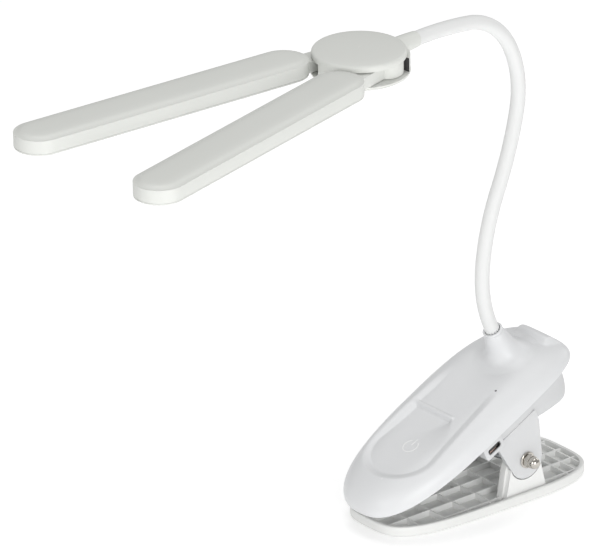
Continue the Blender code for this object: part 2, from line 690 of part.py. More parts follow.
def make_hub(hub, finishes):
    """Domed cover over a dish with the two side slots, the partition and the tapered collar."""
    radius = HUB / 2
    collar_z = -HUB_AXIS
    cover = place(
        lathe([(0, -HUB_RIM), (radius - 0.4, -HUB_RIM), (radius, -HUB_RIM + 0.4), (radius, -0.9),
               (radius - 0.35, -0.3), (radius - 1.2, 0.05), (radius - 5, 0.5), (radius - 12, 0.9), (0, 1.05)], 56),
        "hub_cover", hub, finishes["white"], smooth=False)
    edge = radius + GAP
    collar = [(0, edge), (4.7, edge), (4.9, edge + 0.6), (4.8, 30.0), (4.6, 36.0), (4.4, 40.0), (4.2, 41.1),
              (3.9, 41.5), (0, 41.5)]
    inner = DISH / 2
    base = place(
        lathe([(0, -HUB_HEIGHT), (inner - 3.4, -HUB_HEIGHT), (inner - 1.2, -HUB_HEIGHT + 0.7),
               (inner, -HUB_HEIGHT + 2.0), (inner, SLOT_BOTTOM), (0, SLOT_BOTTOM)], 56),
        "hub_base", hub, finishes["white"], (DISH_X, 0, 0))
    top = -HUB_RIM - GAP
    front = arc(0, 0, inner - 0.3, 167, 193, 6) + [(-1.8, -5.2), (-1.8, 5.2)]
    fuse(base, slab(front, SLOT_BOTTOM - 1, top))
    rear = arc(0, 0, inner - 0.3, -57, 57, 20) + [(14.0, 9.0), (12.6, 4.0), (12.6, -4.0), (14.0, -9.0)]
    fuse(base, slab(rear, SLOT_BOTTOM - 1, top))
    home = (-DISH_X, 0, 0)
    fuse(base, boxes([((18.0, edge + 2.0), (-4.6, 4.6), (SLOT_BOTTOM - 0.5, top - 0.1))]), home)
    fuse(base, lathe(collar, 24), (-DISH_X, 0, collar_z), ALONG_X)
    cut(base, cylinder(2.6, 10, 45, 16), (-DISH_X, 0, collar_z), ALONG_X)
    for side in (-1, 1):
        cut(base, cylinder(1.7, -20, 0, 14), (ARM_X - DISH_X, side * ARM_Y, 0))
        cut(base, cylinder(3.1, -20, -HUB_HEIGHT + 1.3, 18), (ARM_X - DISH_X, side * ARM_Y, 0))
        cut(cover, cylinder(1.7, -5, -0.9, 14), (ARM_X, side * ARM_Y, 0))
    ferrule = place(
        lathe([(2.4, 31.0), (3.3, 31.0), (3.3, 39.5), (2.4, 39.5)], 16, wrap=True),
        "neck_head_ferrule", hub, finishes["steel"], (0, 0, collar_z), True)
    ferrule.rotation_euler = ALONG_X.to_euler()
    cut(base, cylinder(3.6, 30.6, 45, 20), (-DISH_X, 0, collar_z), ALONG_X)
    for number, (x, y) in enumerate(((-15.5, 0), (16.9, -6.5), (16.9, 6.5)), 1):
        cut(base, cylinder(1.3, -20, 0, 12), (x - DISH_X, y, 0))
        cut(base, cylinder(2.5, -20, -HUB_HEIGHT + 1.6, 14), (x - DISH_X, y, 0))
        cut(cover, cylinder(1.3, -5, -1.0, 12), (x, y, 0))
        place(lathe([(0, -HUB_HEIGHT + 0.2), (2.1, -HUB_HEIGHT + 0.2), (2.1, -HUB_HEIGHT + 1.35),
                     (1.0, -HUB_HEIGHT + 1.35), (1.0, -1.4), (0, -1.4)], 12),
              f"hub_screw_{number}", hub, finishes["steel"], (x, y, 0), True)


def make_arm(name, side, home, hub, finishes):
    """One folding arm: root barrel, tongue, light bar cover, strip, diffuser and fasteners."""
    low, high = SLOT_BOTTOM + GAP, SLOT_TOP - 2 * GAP
    arm = place(cylinder(BARREL, low, high, 32), f"arm_{name}", home, finishes["white"])
    fuse(arm, boxes([((-BAR_START - 1.3, 0), (-5.4, 5.4), (low + 0.4, high - 0.2))]))
    fuse(arm, boxes([((-BAR_START - 25, -BAR_START), (-5.4, 5.4), (-6.4, -4.5))]))
    cut(arm, cylinder(1.5 + GAP, -20, 5, 16))
    for reach in (8.0, 20.0):
        cut(arm, cylinder(1.2, -20, 5, 12), (-BAR_START - reach, 0, 0))
    where = (ARM_X, side * ARM_Y, 0)
    place(lathe([(0, -HUB_HEIGHT + 0.2), (2.7, -HUB_HEIGHT + 0.2), (2.7, -HUB_HEIGHT + 1.05),
                 (1.4, -HUB_HEIGHT + 1.05), (1.4, -1.3), (0, -1.3)], 16),
          f"arm_screw_{name}", hub, finishes["steel"], where, True)
    make_bar(name, home, finishes)


def bar_ring(inset, level):
    return [(x, y, level) for x, y in stadium(BAR_START, BAR_LENGTH, BAR_WIDTH, inset)]


def make_bar(name, home, finishes):
    bottom = BAR_EDGE - BAR_SIDE
    top = BAR_EDGE + BAR_CROWN
    cover = place(
        loft([bar_ring(0.3, bottom), bar_ring(0, bottom + 0.4), bar_ring(0, BAR_EDGE - 0.25),
              bar_ring(0.3, BAR_EDGE + 0.05), bar_ring(2.6, top - 0.55), bar_ring(5.4, top)]),
        f"bar_cover_{name}", home, finishes["white"])
    cut(cover, loft([bar_ring(BAR_WALL, bottom - 1), bar_ring(BAR_WALL, BAR_EDGE - 1.6),
                     bar_ring(5.4, top - BAR_WALL)]))
    cut(cover, boxes([((-BAR_START - 4, -BAR_START + 2), (-5.4 - GAP, 5.4 + GAP), (bottom - 1, -4.0))]))
    for reach in (8.0, 20.0):
        spot = (-BAR_START - reach, 0, 0)
        fuse(cover, cylinder(2.6, -4.2, top - 1.0, 14), spot)
        cut(cover, cylinder(1.0, -8, -2.0, 12), spot)
    for number, reach in enumerate((8.0, 20.0), 1):
        place(lathe([(0, -7.7), (1.9, -7.7), (1.9, -6.65), (0.85, -6.65), (0.85, -2.3), (0, -2.3)], 12),
              f"bar_screw_{name}_{number}", home, finishes["steel"], (-BAR_START - reach, 0, 0), True)
    start, end = -BAR_START - 29, -BAR_START - BAR_LENGTH + 10
    strip = place(boxes([((end, start), (-7.0, 7.0), (-6.2, -5.2))]), f"led_strip_{name}", home,
                  finishes["board"])
    step = (start - end) / LEDS
    fuse(strip, boxes([
        ((end + (i + 0.5) * step - 1.8, end + (i + 0.5) * step + 1.8), (-1.5, 1.5), (-7.0, -5.9)) for i in range(LEDS)
    ]))
    fuse(cover, boxes([((x - 0.8, x + 0.8), (-BAR_WIDTH / 2 + 1, BAR_WIDTH / 2 - 1), (-5.2 + GAP, BAR_EDGE - 1.0))
                       for x in (start - 8, (start + end) / 2, end + 8)]))
    place(loft([bar_ring(BAR_WALL + GAP + 0.3, bottom + 0.1), bar_ring(BAR_WALL + GAP, bottom + 0.4),
                bar_ring(BAR_WALL + GAP, bottom + 1.5)]),
          f"diffuser_{name}", home, finishes["diffuser"])


# ---------------------------------------------------------------- build

def main():
    clear_scene()
    finishes = {
        "base": material("base_plastic", (0.80, 0.81, 0.83), roughness=0.42),
        "white": material("head_plastic", (0.79, 0.80, 0.77), roughness=0.5),
        "sleeve": material("silicone_sleeve", (0.84, 0.84, 0.84), roughness=0.55),
        "steel": material("steel", (0.56, 0.57, 0.58), 1.0, 0.35),
        "nickel": material("nickel", (0.72, 0.68, 0.62), 1.0, 0.18),
        "board": material("circuit_board", (0.05, 0.24, 0.12), roughness=0.5),
        "cell": material("cell_wrap", (0.55, 0.57, 0.60), 0.6, 0.4),
        "copper": material("copper", (0.80, 0.42, 0.26), 1.0, 0.35),
        "clear": material("light_pipe", (0.10, 0.10, 0.11), roughness=0.2),
        "diffuser": material("diffuser", (0.93, 0.93, 0.91), roughness=0.45),
    }
    root = frame("jaw_frame", Matrix.Identity(4))
    clamp = frame("clamp_axis", shell_matrix())
    make_lower_jaw(root, finishes["base"])
    make_bolt_set(root, finishes["steel"], finishes["nickel"])
    make_spring(root, finishes["steel"])
    make_top_shell(clamp, finishes["base"])
    make_lower_tub(clamp, finishes["base"])
    make_housing_insides(clamp, finishes)
    joints = [neck_matrix(bend[0]) for bend in neck_points()]
    neck_frames = [frame(f"neck_joint_{i}", joint) for i, joint in enumerate(joints, 1)]
    make_gooseneck(neck_frames, finishes)
    hub = frame("hub_frame", hub_matrix())
    make_hub(hub, finishes)
    for name, side in (("left", 1), ("right", -1)):
        make_arm(name, side, frame(f"arm_axis_{name}", arm_matrix(side)), hub, finishes)
    for i, joint in enumerate(joints, 1):
        axis = joint.col[1] if i % 2 else joint.col[0]
        print("joint", f"neck_{i}", [round(v, 4) for v in joint.translation], [round(v, 6) for v in axis.xyz])
    for name, side in (("left", 1), ("right", -1)):
        home = arm_matrix(side)
        print("joint", f"arm_{name}", [round(v, 4) for v in home.translation], [round(v, 6) for v in home.col[2].xyz])


main()
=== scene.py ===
# Clip-on reading lamp: the visual model over the CAD frame.
# Pieces are drawn in millimetres in their own axes and put into place in metres.
from math import acos, atan2, cos, hypot, pi, radians, sin, sqrt

import bmesh
import bpy
from mathutils import Matrix, Vector


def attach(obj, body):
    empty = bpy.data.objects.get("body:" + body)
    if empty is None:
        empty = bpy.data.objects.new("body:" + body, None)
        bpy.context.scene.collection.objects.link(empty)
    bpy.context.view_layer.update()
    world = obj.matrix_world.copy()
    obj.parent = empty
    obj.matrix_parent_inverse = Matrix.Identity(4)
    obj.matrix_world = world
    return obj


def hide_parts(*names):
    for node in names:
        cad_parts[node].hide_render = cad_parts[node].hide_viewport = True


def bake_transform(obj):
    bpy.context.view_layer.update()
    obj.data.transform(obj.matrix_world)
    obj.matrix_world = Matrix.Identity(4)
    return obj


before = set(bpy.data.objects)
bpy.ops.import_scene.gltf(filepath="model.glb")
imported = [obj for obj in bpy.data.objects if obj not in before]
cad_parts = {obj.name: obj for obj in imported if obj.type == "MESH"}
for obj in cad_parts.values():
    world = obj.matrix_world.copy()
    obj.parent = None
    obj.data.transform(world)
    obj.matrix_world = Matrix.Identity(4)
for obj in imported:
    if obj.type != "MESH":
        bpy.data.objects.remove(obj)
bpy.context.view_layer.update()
print("frame loaded")

scene = bpy.context.scene
mm = 0.001
alongX = Matrix.Rotation(pi / 2, 4, "Y")
alongY = Matrix.Rotation(-pi / 2, 4, "X")


# Camera and light
cameraLook = {"place": (-2.3862, -2.7065, 1.7327), "right": (0.76604, -0.64279, 0.0),
              "up": (0.26145, 0.31158, 0.91354), "back": (-0.58722, -0.69981, 0.40674), "lens": 448.8}
roomLook = {"floorColour": (0.96, 0.96, 0.96), "sky": 0.42, "floorGlow": 0.22, "aim": (-0.08, 0, 0.12),
            # each light's place, size and watts
            "lights": {"keyFront": ((-0.6, -2.0, 0.65), 1.1, 21.0), "leftFill": ((-1.9, -0.6, 0.7), 1.1, 8.0),
                       "overhead": ((0.1, 0.45, 2.0), 1.6, 14.0), "rightRim": ((1.7, 0.3, 0.9), 1.0, 4.0)}}

camera = bpy.data.objects.new("camera", bpy.data.cameras.new("camera"))
scene.collection.objects.link(camera)
axes = Matrix((cameraLook["right"], cameraLook["up"], cameraLook["back"])).transposed()
camera.matrix_world = Matrix.Translation(cameraLook["place"]) @ axes.to_4x4()
camera.data.lens = cameraLook["lens"]
camera.data.sensor_width = 36
camera.data.clip_end = 50
scene.camera = camera

for lightName, (place, size, watts) in roomLook["lights"].items():
    lamp = bpy.data.lights.new(lightName, "AREA")
    lamp.shape, lamp.size, lamp.energy = "DISK", size, watts
    lampObj = bpy.data.objects.new(lightName, lamp)
    scene.collection.objects.link(lampObj)
    lampObj.location = place
    lampObj.rotation_euler = (Vector(place) - Vector(roomLook["aim"])).to_track_quat("Z", "Y").to_euler()

world = bpy.data.worlds.new("softSky")
world.use_nodes = True
world.node_tree.nodes["Background"].inputs["Color"].default_value = (1, 1, 1, 1)
world.node_tree.nodes["Background"].inputs["Strength"].default_value = roomLook["sky"]
scene.world = world
scene.view_settings.view_transform = "Standard"
print("camera and light set")


# Shader groups that the finishes share
def newGroup(name, inputs, outputs):
    group = bpy.data.node_groups.new(name, "ShaderNodeTree")
    for label, kind, value in inputs:
        made = group.interface.new_socket(label, in_out="INPUT", socket_type=kind)
        made.default_value = value
    for label, kind in outputs:
        group.interface.new_socket(label, in_out="OUTPUT", socket_type=kind)
    return group, group.nodes.new("NodeGroupInput"), group.nodes.new("NodeGroupOutput")


def mouldGroup():
    # fine moulded texture: a height, a tint that drifts over the part, and its roughness
    group, given, out = newGroup(
        "mouldedSkin",
        [("Grain Scale", "NodeSocketFloat", 900.0), ("Drift Scale", "NodeSocketFloat", 18.0),
         ("Base", "NodeSocketColor", (0.8, 0.8, 0.8, 1)), ("Shade", "NodeSocketColor", (0.7, 0.7, 0.7, 1)),
         ("Rough Low", "NodeSocketFloat", 0.4), ("Rough High", "NodeSocketFloat", 0.5)],
        [("Color", "NodeSocketColor"), ("Roughness", "NodeSocketFloat"), ("Height", "NodeSocketFloat")])
    nodes, link = group.nodes, group.links.new
    where = nodes.new("ShaderNodeTexCoord")
    grain = nodes.new("ShaderNodeTexNoise")
    grain.inputs["Detail"].default_value = 3
    link(where.outputs["Object"], grain.inputs["Vector"])
    link(given.outputs["Grain Scale"], grain.inputs["Scale"])
    drift = nodes.new("ShaderNodeTexNoise")
    drift.inputs["Detail"].default_value = 4
    link(where.outputs["Object"], drift.inputs["Vector"])
    link(given.outputs["Drift Scale"], drift.inputs["Scale"])
    tint = nodes.new("ShaderNodeMix")
    tint.data_type = "RGBA"
    link(drift.outputs["Fac"], tint.inputs["Factor"])
    link(given.outputs["Base"], tint.inputs["A"])
    link(given.outputs["Shade"], tint.inputs["B"])
    span = nodes.new("ShaderNodeMapRange")
    link(grain.outputs["Fac"], span.inputs["Value"])
    link(given.outputs["Rough Low"], span.inputs["To Min"])
    link(given.outputs["Rough High"], span.inputs["To Max"])
    link(tint.outputs["Result"], out.inputs["Color"])
    link(span.outputs["Result"], out.inputs["Roughness"])
    link(grain.outputs["Fac"], out.inputs["Height"])
    return group


def edgeGroup():
    # paints a highlight onto convex edges and paints shade into concave corners, both from Pointiness
    group, given, out = newGroup(
        "edgeHighlightAndCornerShade",
        [("Color", "NodeSocketColor", (0.8, 0.8, 0.8, 1)), ("Edge Highlight", "NodeSocketFloat", 0.2),
         ("Corner Shade", "NodeSocketFloat", 0.15)],
        [("Color", "NodeSocketColor")])
    nodes, link = group.nodes, group.links.new
    point = nodes.new("ShaderNodeNewGeometry")
    edge = nodes.new("ShaderNodeMapRange")
    edge.inputs["From Min"].default_value = 0.52
    edge.inputs["From Max"].default_value = 0.62
    link(point.outputs["Pointiness"], edge.inputs["Value"])
    corner = nodes.new("ShaderNodeMapRange")
    corner.inputs["From Min"].default_value = 0.48
    corner.inputs["From Max"].default_value = 0.38
    link(point.outputs["Pointiness"], corner.inputs["Value"])
    lift = nodes.new("ShaderNodeMath")
    lift.operation = "MULTIPLY"
    link(edge.outputs["Result"], lift.inputs[0])
    link(given.outputs["Edge Highlight"], lift.inputs[1])
    cornerShadeAmount = nodes.new("ShaderNodeMath")
    cornerShadeAmount.operation = "MULTIPLY"
    link(corner.outputs["Result"], cornerShadeAmount.inputs[0])
    link(given.outputs["Corner Shade"], cornerShadeAmount.inputs[1])
    # painted highlight colour for convex edges
    bright = nodes.new("ShaderNodeMix")
    bright.data_type = "RGBA"
    bright.inputs["B"].default_value = (0.95, 0.95, 0.95, 1)
    link(lift.outputs["Value"], bright.inputs["Factor"])
    link(given.outputs["Color"], bright.inputs["A"])
    # painted shade colour for concave corners
    shadedColour = nodes.new("ShaderNodeMix")
    shadedColour.data_type = "RGBA"
    shadedColour.inputs["B"].default_value = (0.32, 0.32, 0.31, 1)
    link(cornerShadeAmount.outputs["Value"], shadedColour.inputs["Factor"])
    link(bright.outputs["Result"], shadedColour.inputs["A"])
    link(shadedColour.outputs["Result"], out.inputs["Color"])
    return group


def brushGroup():
    # fine turning marks and small stains for the metal parts
    group, given, out = newGroup(
        "machinedMetal",
        [("Base", "NodeSocketColor", (0.6, 0.6, 0.6, 1)), ("Stain", "NodeSocketColor", (0.4, 0.4, 0.4, 1)),
         ("Rough Low", "NodeSocketFloat", 0.2), ("Rough High", "NodeSocketFloat", 0.4)],
        [("Color", "NodeSocketColor"), ("Roughness", "NodeSocketFloat"), ("Height", "NodeSocketFloat")])
    nodes, link = group.nodes, group.links.new
    where = nodes.new("ShaderNodeTexCoord")
    marks = nodes.new("ShaderNodeTexWave")
    marks.inputs["Scale"].default_value = 420
    marks.inputs["Distortion"].default_value = 4
    marks.inputs["Detail"].default_value = 2
    link(where.outputs["Object"], marks.inputs["Vector"])
    stain = nodes.new("ShaderNodeTexNoise")
    stain.inputs["Scale"].default_value = 160
    stain.inputs["Detail"].default_value = 4
    link(where.outputs["Object"], stain.inputs["Vector"])
    tint = nodes.new("ShaderNodeMix")
    tint.data_type = "RGBA"
    link(stain.outputs["Fac"], tint.inputs["Factor"])
    link(given.outputs["Base"], tint.inputs["A"])
    link(given.outputs["Stain"], tint.inputs["B"])
    span = nodes.new("ShaderNodeMapRange")
    link(stain.outputs["Fac"], span.inputs["Value"])
    link(given.outputs["Rough Low"], span.inputs["To Min"])
    link(given.outputs["Rough High"], span.inputs["To Max"])
    link(tint.outputs["Result"], out.inputs["Color"])
    link(span.outputs["Result"], out.inputs["Roughness"])
    link(marks.outputs["Fac"], out.inputs["Height"])
    return group


skin, edgeLightAndShade, machined = mouldGroup(), edgeGroup(), brushGroup()


def startFinish(name):
    made = bpy.data.materials.new(name)
    made.use_nodes = True
    return made, made.node_tree.nodes, made.node_tree.links.new, made.node_tree.nodes["Principled BSDF"]


def addBump(nodes, link, height, shader, strength, distance):
    bump = nodes.new("ShaderNodeBump")
    bump.inputs["Strength"].default_value = strength
    bump.inputs["Distance"].default_value = distance
    link(height, bump.inputs["Height"])
    link(bump.outputs["Normal"], shader.inputs["Normal"])


def mouldedFinish(name, base, shade, rough, grain=900, bump=0.12, edge=0.2, cornerShade=0.2, coat=0.0, soft=0.0):
    made, nodes, link, shader = startFinish(name)
    feel = nodes.new("ShaderNodeGroup")
    feel.node_tree = skin
    feel.inputs["Grain Scale"].default_value = grain
    feel.inputs["Base"].default_value = (*base, 1)
    feel.inputs["Shade"].default_value = (*shade, 1)
    feel.inputs["Rough Low"].default_value = rough - 0.06
    feel.inputs["Rough High"].default_value = rough + 0.08
    # the edge value paints a highlight on convex edges, the corner value paints shade into concave corners
    edgeShadingNode = nodes.new("ShaderNodeGroup")
    edgeShadingNode.node_tree = edgeLightAndShade
    edgeShadingNode.inputs["Edge Highlight"].default_value = edge
    edgeShadingNode.inputs["Corner Shade"].default_value = cornerShade
    link(feel.outputs["Color"], edgeShadingNode.inputs["Color"])
    link(edgeShadingNode.outputs["Color"], shader.inputs["Base Color"])
    link(feel.outputs["Roughness"], shader.inputs["Roughness"])
    addBump(nodes, link, feel.outputs["Height"], shader, bump, 0.00006)
    shader.inputs["Coat Weight"].default_value = coat
    shader.inputs["Coat Roughness"].default_value = 0.35
    if soft:
        shader.inputs["Sheen Weight"].default_value = soft
        shader.inputs["Sheen Roughness"].default_value = 0.4
    return made


def metalFinish(name, base, stain, rough, bump=0.05):
    made, nodes, link, shader = startFinish(name)
    turned = nodes.new("ShaderNodeGroup")
    turned.node_tree = machined
    turned.inputs["Base"].default_value = (*base, 1)
    turned.inputs["Stain"].default_value = (*stain, 1)
    turned.inputs["Rough Low"].default_value = rough - 0.05
    turned.inputs["Rough High"].default_value = rough + 0.1
    link(turned.outputs["Color"], shader.inputs["Base Color"])
    link(turned.outputs["Roughness"], shader.inputs["Roughness"])
    shader.inputs["Metallic"].default_value = 1
    addBump(nodes, link, turned.outputs["Height"], shader, bump, 0.00003)
    return made


basePlastic = mouldedFinish("basePlastic", (0.685, 0.692, 0.70), (0.655, 0.662, 0.67), 0.40, coat=0.08)
headPlastic = mouldedFinish("headPlastic", (0.655, 0.665, 0.635), (0.62, 0.63, 0.60), 0.52, grain=1300, bump=0.16)
# a darker copy of the housing plastic: painted shade for the tub under the housing's lip
tubShadedPlastic = mouldedFinish("tubShadedPlastic", (0.60, 0.606, 0.612), (0.57, 0.576, 0.582), 0.45)
trayPlastic = mouldedFinish("trayPlastic", (0.76, 0.765, 0.75), (0.71, 0.715, 0.70), 0.44)
sleeveRubber = mouldedFinish("sleeveRubber", (0.72, 0.725, 0.72), (0.68, 0.685, 0.68), 0.55, grain=600, bump=0.2,
                             edge=0.0, cornerShade=0.0, soft=0.15)
darkPlastic = mouldedFinish("darkPlastic", (0.012, 0.012, 0.013), (0.03, 0.03, 0.03), 0.5, edge=0.05, cornerShade=0.1)
markPlastic = mouldedFinish("markPlastic", (0.86, 0.86, 0.86), (0.80, 0.80, 0.80), 0.35, edge=0.1, cornerShade=0.0)
pipeClear = mouldedFinish("pipeClear", (0.05, 0.05, 0.055), (0.09, 0.08, 0.08), 0.2, grain=400, bump=0.02, coat=0.5)
boardGreen = mouldedFinish("boardGreen", (0.03, 0.16, 0.08), (0.02, 0.10, 0.05), 0.42, grain=500, edge=0.3, cornerShade=0.2,
                           coat=0.3)
cellWrap = mouldedFinish("cellWrap", (0.30, 0.42, 0.55), (0.22, 0.33, 0.46), 0.3, grain=300, coat=0.4)
frosted = mouldedFinish("frosted", (0.86, 0.86, 0.83), (0.80, 0.80, 0.77), 0.38, grain=1600, bump=0.35, cornerShade=0.05)
nickel = metalFinish("nickelPlate", (0.62, 0.595, 0.55), (0.48, 0.45, 0.41), 0.14)
steel = metalFinish("steelZinc", (0.58, 0.59, 0.60), (0.42, 0.43, 0.45), 0.32, 0.1)
portMetal = metalFinish("portMetal", (0.16, 0.155, 0.15), (0.10, 0.095, 0.09), 0.3)
copper = metalFinish("copperPad", (0.80, 0.45, 0.30), (0.60, 0.30, 0.18), 0.3)
contact = metalFinish("contactPlate", (0.82, 0.62, 0.55), (0.66, 0.46, 0.40), 0.3)

floorFinish, floorNodes, floorLink, floorShader = startFinish("paleFloor")
floorNoise = floorNodes.new("ShaderNodeTexNoise")
floorNoise.inputs["Scale"].default_value = 3
floorRamp = floorNodes.new("ShaderNodeMix")
floorRamp.data_type = "RGBA"
floorRamp.inputs["A"].default_value = (*roomLook["floorColour"], 1)
floorRamp.inputs["B"].default_value = (0.98, 0.98, 0.98, 1)
floorLink(floorNoise.outputs["Fac"], floorRamp.inputs["Factor"])
floorLink(floorRamp.outputs["Result"], floorShader.inputs["Base Color"])
floorShader.inputs["Roughness"].default_value = 0.8
floorShader.inputs["Emission Color"].default_value = (1, 1, 1, 1)
floorShader.inputs["Emission Strength"].default_value = roomLook["floorGlow"]
floorMesh = bpy.data.meshes.new("floor")
floorMesh.from_pydata([(-8, -8, 0), (8, -8, 0), (8, 8, 0), (-8, 8, 0)], [], [(0, 1, 2, 3)])
floorMesh.materials.append(floorFinish)
floor = bpy.data.objects.new("floor", floorMesh)
floor.location.z = -0.0004
scene.collection.objects.link(floor)
print("finishes made")


# Mesh helpers
def smoothStep(low, high, value):
    t = min(max((value - low) / (high - low), 0.0), 1.0)
    return t * t * (3 - 2 * t)


def through(points, steps):
    # a smooth run of points through the given ones
    found = []
    for i in range(len(points) - 1):
        p0, p1 = Vector(points[max(i - 1, 0)]), Vector(points[i])
        p2, p3 = Vector(points[i + 1]), Vector(points[min(i + 2, len(points) - 1)])
        for k in range(steps):
            t = k / steps
            found.append(tuple(0.5 * (2 * p1 + (p2 - p0) * t + (2 * p0 - 5 * p1 + 4 * p2 - p3) * t * t
                                      + (3 * p1 - p0 - 3 * p2 + p3) * t ** 3)))
    return found + [tuple(points[-1])]


def arcPoints(cx, cy, radius, start, end, steps):
    return [(cx + radius * cos(radians(start + (end - start) * i / steps)),
             cy + radius * sin(radians(start + (end - start) * i / steps))) for i in range(steps + 1)]


def roundedBox(x0, x1, y0, y1, radius, steps=4):
    return (arcPoints(x1 - radius, y1 - radius, radius, 0, 90, steps)
            + arcPoints(x0 + radius, y1 - radius, radius, 90, 180, steps)
            + arcPoints(x0 + radius, y0 + radius, radius, 180, 270, steps)
            + arcPoints(x1 - radius, y0 + radius, radius, 270, 360, steps))


def loftInto(bm, rings, home=None, wrap=False, ladder=False):
    # a skin over the rings. It closes on itself with wrap, or else at both ends, which a ladder fills with strips
    home = home or Matrix.Identity(4)
    made = [[bm.verts.new(home @ Vector(p)) for p in ring] for ring in rings]
    count = len(made[0])
    pairs = list(zip(made[:-1], made[1:])) + ([(made[-1], made[0])] if wrap else [])
    for low, high in pairs:
        for i in range(count):
            j = (i + 1) % count
            bm.faces.new((low[i], low[j], high[j], high[i]))
    if wrap:
        return
    for ring in (made[0], made[-1]):
        if not ladder:
            bm.faces.new(ring)
            continue
        half = count // 2
        for i in range(half):
            corners = []
            for vert in (ring[i], ring[i + 1], ring[(count - i - 1) % count], ring[(count - i) % count]):
                if vert not in corners:
                    corners.append(vert)
            if len(corners) > 2:
                bm.faces.new(corners)


def lathePoints(profile, sides):
    return [[(r * cos(2 * pi * i / sides), r * sin(2 * pi * i / sides), z) for i in range(sides)] for r, z in profile]


def latheInto(bm, profile, sides, home=None, wrap=False):
    # a turned body. The ends of an open profile close with a flat face
    loftInto(bm, lathePoints([(max(r, 0.02), z) for r, z in profile], sides), home, wrap)


def slabInto(bm, outline, low, high, axis="z", home=None, edge=0.3):
    # a plate with softened rims: the outline between two levels along z or y
    cx = sum(p[0] for p in outline) / len(outline)
    cy = sum(p[1] for p in outline) / len(outline)
    reach = max(sqrt((a - cx) ** 2 + (b - cy) ** 2) for a, b in outline)
    rings = []
    for level, inset in ((low, edge), (low + edge * 0.3, edge * 0.3), (low + edge, 0), (high - edge, 0),
                         (high - edge * 0.3, edge * 0.3), (high, edge)):
        share = 1 - inset / reach
        ring = [(cx + (a - cx) * share, cy + (b - cy) * share) for a, b in outline]
        rings.append([(a, b, level) if axis == "z" else (a, level, b) for a, b in ring])
    loftInto(bm, rings, home)


def boxInto(bm, xs, ys, zs, draft):
    # a box whose top is narrower by draft on each side
    rings = []
    for level, shrink in ((zs[0], 0.0), (zs[1], draft)):
        rings.append([(xs[0] + shrink, ys[0] + shrink, level), (xs[1] - shrink, ys[0] + shrink, level),
                      (xs[1] - shrink, ys[1] - shrink, level), (xs[0] + shrink, ys[1] - shrink, level)])
    loftInto(bm, rings)


def finishPiece(name, bm, home, finish, sharp=32, body=None, nodes=()):
    # puts the mesh in place in metres and gives it to its body
    bmesh.ops.recalc_face_normals(bm, faces=bm.faces)
    bm.transform(Matrix.Diagonal((mm, mm, mm, 1)) @ home)
    mesh = bpy.data.meshes.new(name)
    bm.to_mesh(mesh)
    bm.free()
    mesh.materials.append(finish)
    obj = bpy.data.objects.new(name, mesh)
    scene.collection.objects.link(obj)
    obj.data.shade_smooth()
    obj.data.set_sharp_from_angle(angle=radians(sharp))
    if body:
        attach(obj, body)
    if nodes:
        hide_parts(*nodes)
    return obj


# Axes of the lamp's sections
clampLook = {"pivot": (18.0, 24.0), "tilt": 27.0, "centre": (-5.5, 45.7)}
tilt = radians(clampLook["tilt"])
shellHome = (Matrix.Translation((clampLook["centre"][0], 0, clampLook["centre"][1]))
             @ Matrix.Rotation(-tilt, 4, "Y"))
pivotHome = Matrix.Translation((clampLook["pivot"][0], 0, clampLook["pivot"][1]))
pivotLocal = shellHome.inverted() @ Vector((clampLook["pivot"][0], 0, clampLook["pivot"][1]))

neckLook = {"radius": 4.0, "start": 1.2, "arcs": (38.8, 42.5, 42.5, 42.5, 38.2, 38.2),
            "turns": (-32.2, -19.3, 12.2, 43.0, 51.4, 9.0), "yaw": 4.5, "bossAt": 41.2, "bossTop": 28.8,
            "footReach": (1.0, 15.0), "bendReach": (10.0, 10.0)}      # how far back and ahead of each joint the start and end points lie


def neckLine(fine=24):
    # the gooseneck's centre line, as (outward, up, lean), in a list for each bend
    angle = tilt
    r, z = 0.0, clampLook["centre"][1] + neckLook["bossAt"] * sin(tilt) + (
        neckLook["bossTop"] + neckLook["start"]) * cos(tilt)
    bends = []
    for length, turn in zip(neckLook["arcs"], neckLook["turns"]):
        bend = [(r, z, angle)]
        for _ in range(fine):
            mid = angle + radians(turn) / fine / 2
            r -= length / fine * sin(mid)
            z += length / fine * cos(mid)
            angle += radians(turn) / fine
            bend.append((r, z, angle))
        bends.append(bend)
    return bends


def neckHome(point):
    # the axes at a point of that line, with z along it
    r, z, angle = point
    yaw = radians(neckLook["yaw"])
    foot = clampLook["centre"][0] + neckLook["bossAt"] * cos(tilt) - (
        neckLook["bossTop"] + neckLook["start"]) * sin(tilt)
    out, up = Vector((cos(yaw), sin(yaw), 0)), Vector((0, 0, 1))
    along = -sin(angle) * out + cos(angle) * up
    across = Vector((-sin(yaw), cos(yaw), 0))
    inward = cos(angle) * out + sin(angle) * up
    turned = Matrix((inward, across, along)).transposed().to_4x4()
    turned.translation = Vector((foot, 0, z)) + r * out
    return turned


bends = neckLine()
hubLook = {"radius": 24.7, "rim": 3.4, "height": 14.0, "dish": 26.0, "dishX": 0.8, "reach": 41.5, "axis": 7.2,
           "slotTop": -3.7, "slotBottom": -11.2, "arm": (5.1, 13.6), "barrel": 9.6, "splay": 9.1}
neckEnd = neckHome(bends[-1][-1])
hubAxes = Matrix((-neckEnd.col[2].xyz, neckEnd.col[1].xyz, neckEnd.col[0].xyz)).transposed()
hubHome = hubAxes.to_4x4()
hubHome.translation = (neckEnd.translation - hubHome.col[0].xyz * hubLook["reach"]
                       + hubHome.col[2].xyz * hubLook["axis"])


def armHome(side):
    x, y = hubLook["arm"]
    return hubHome @ Matrix.Translation((x, side * y, 0)) @ Matrix.Rotation(-side * radians(hubLook["splay"]), 4, "Z")


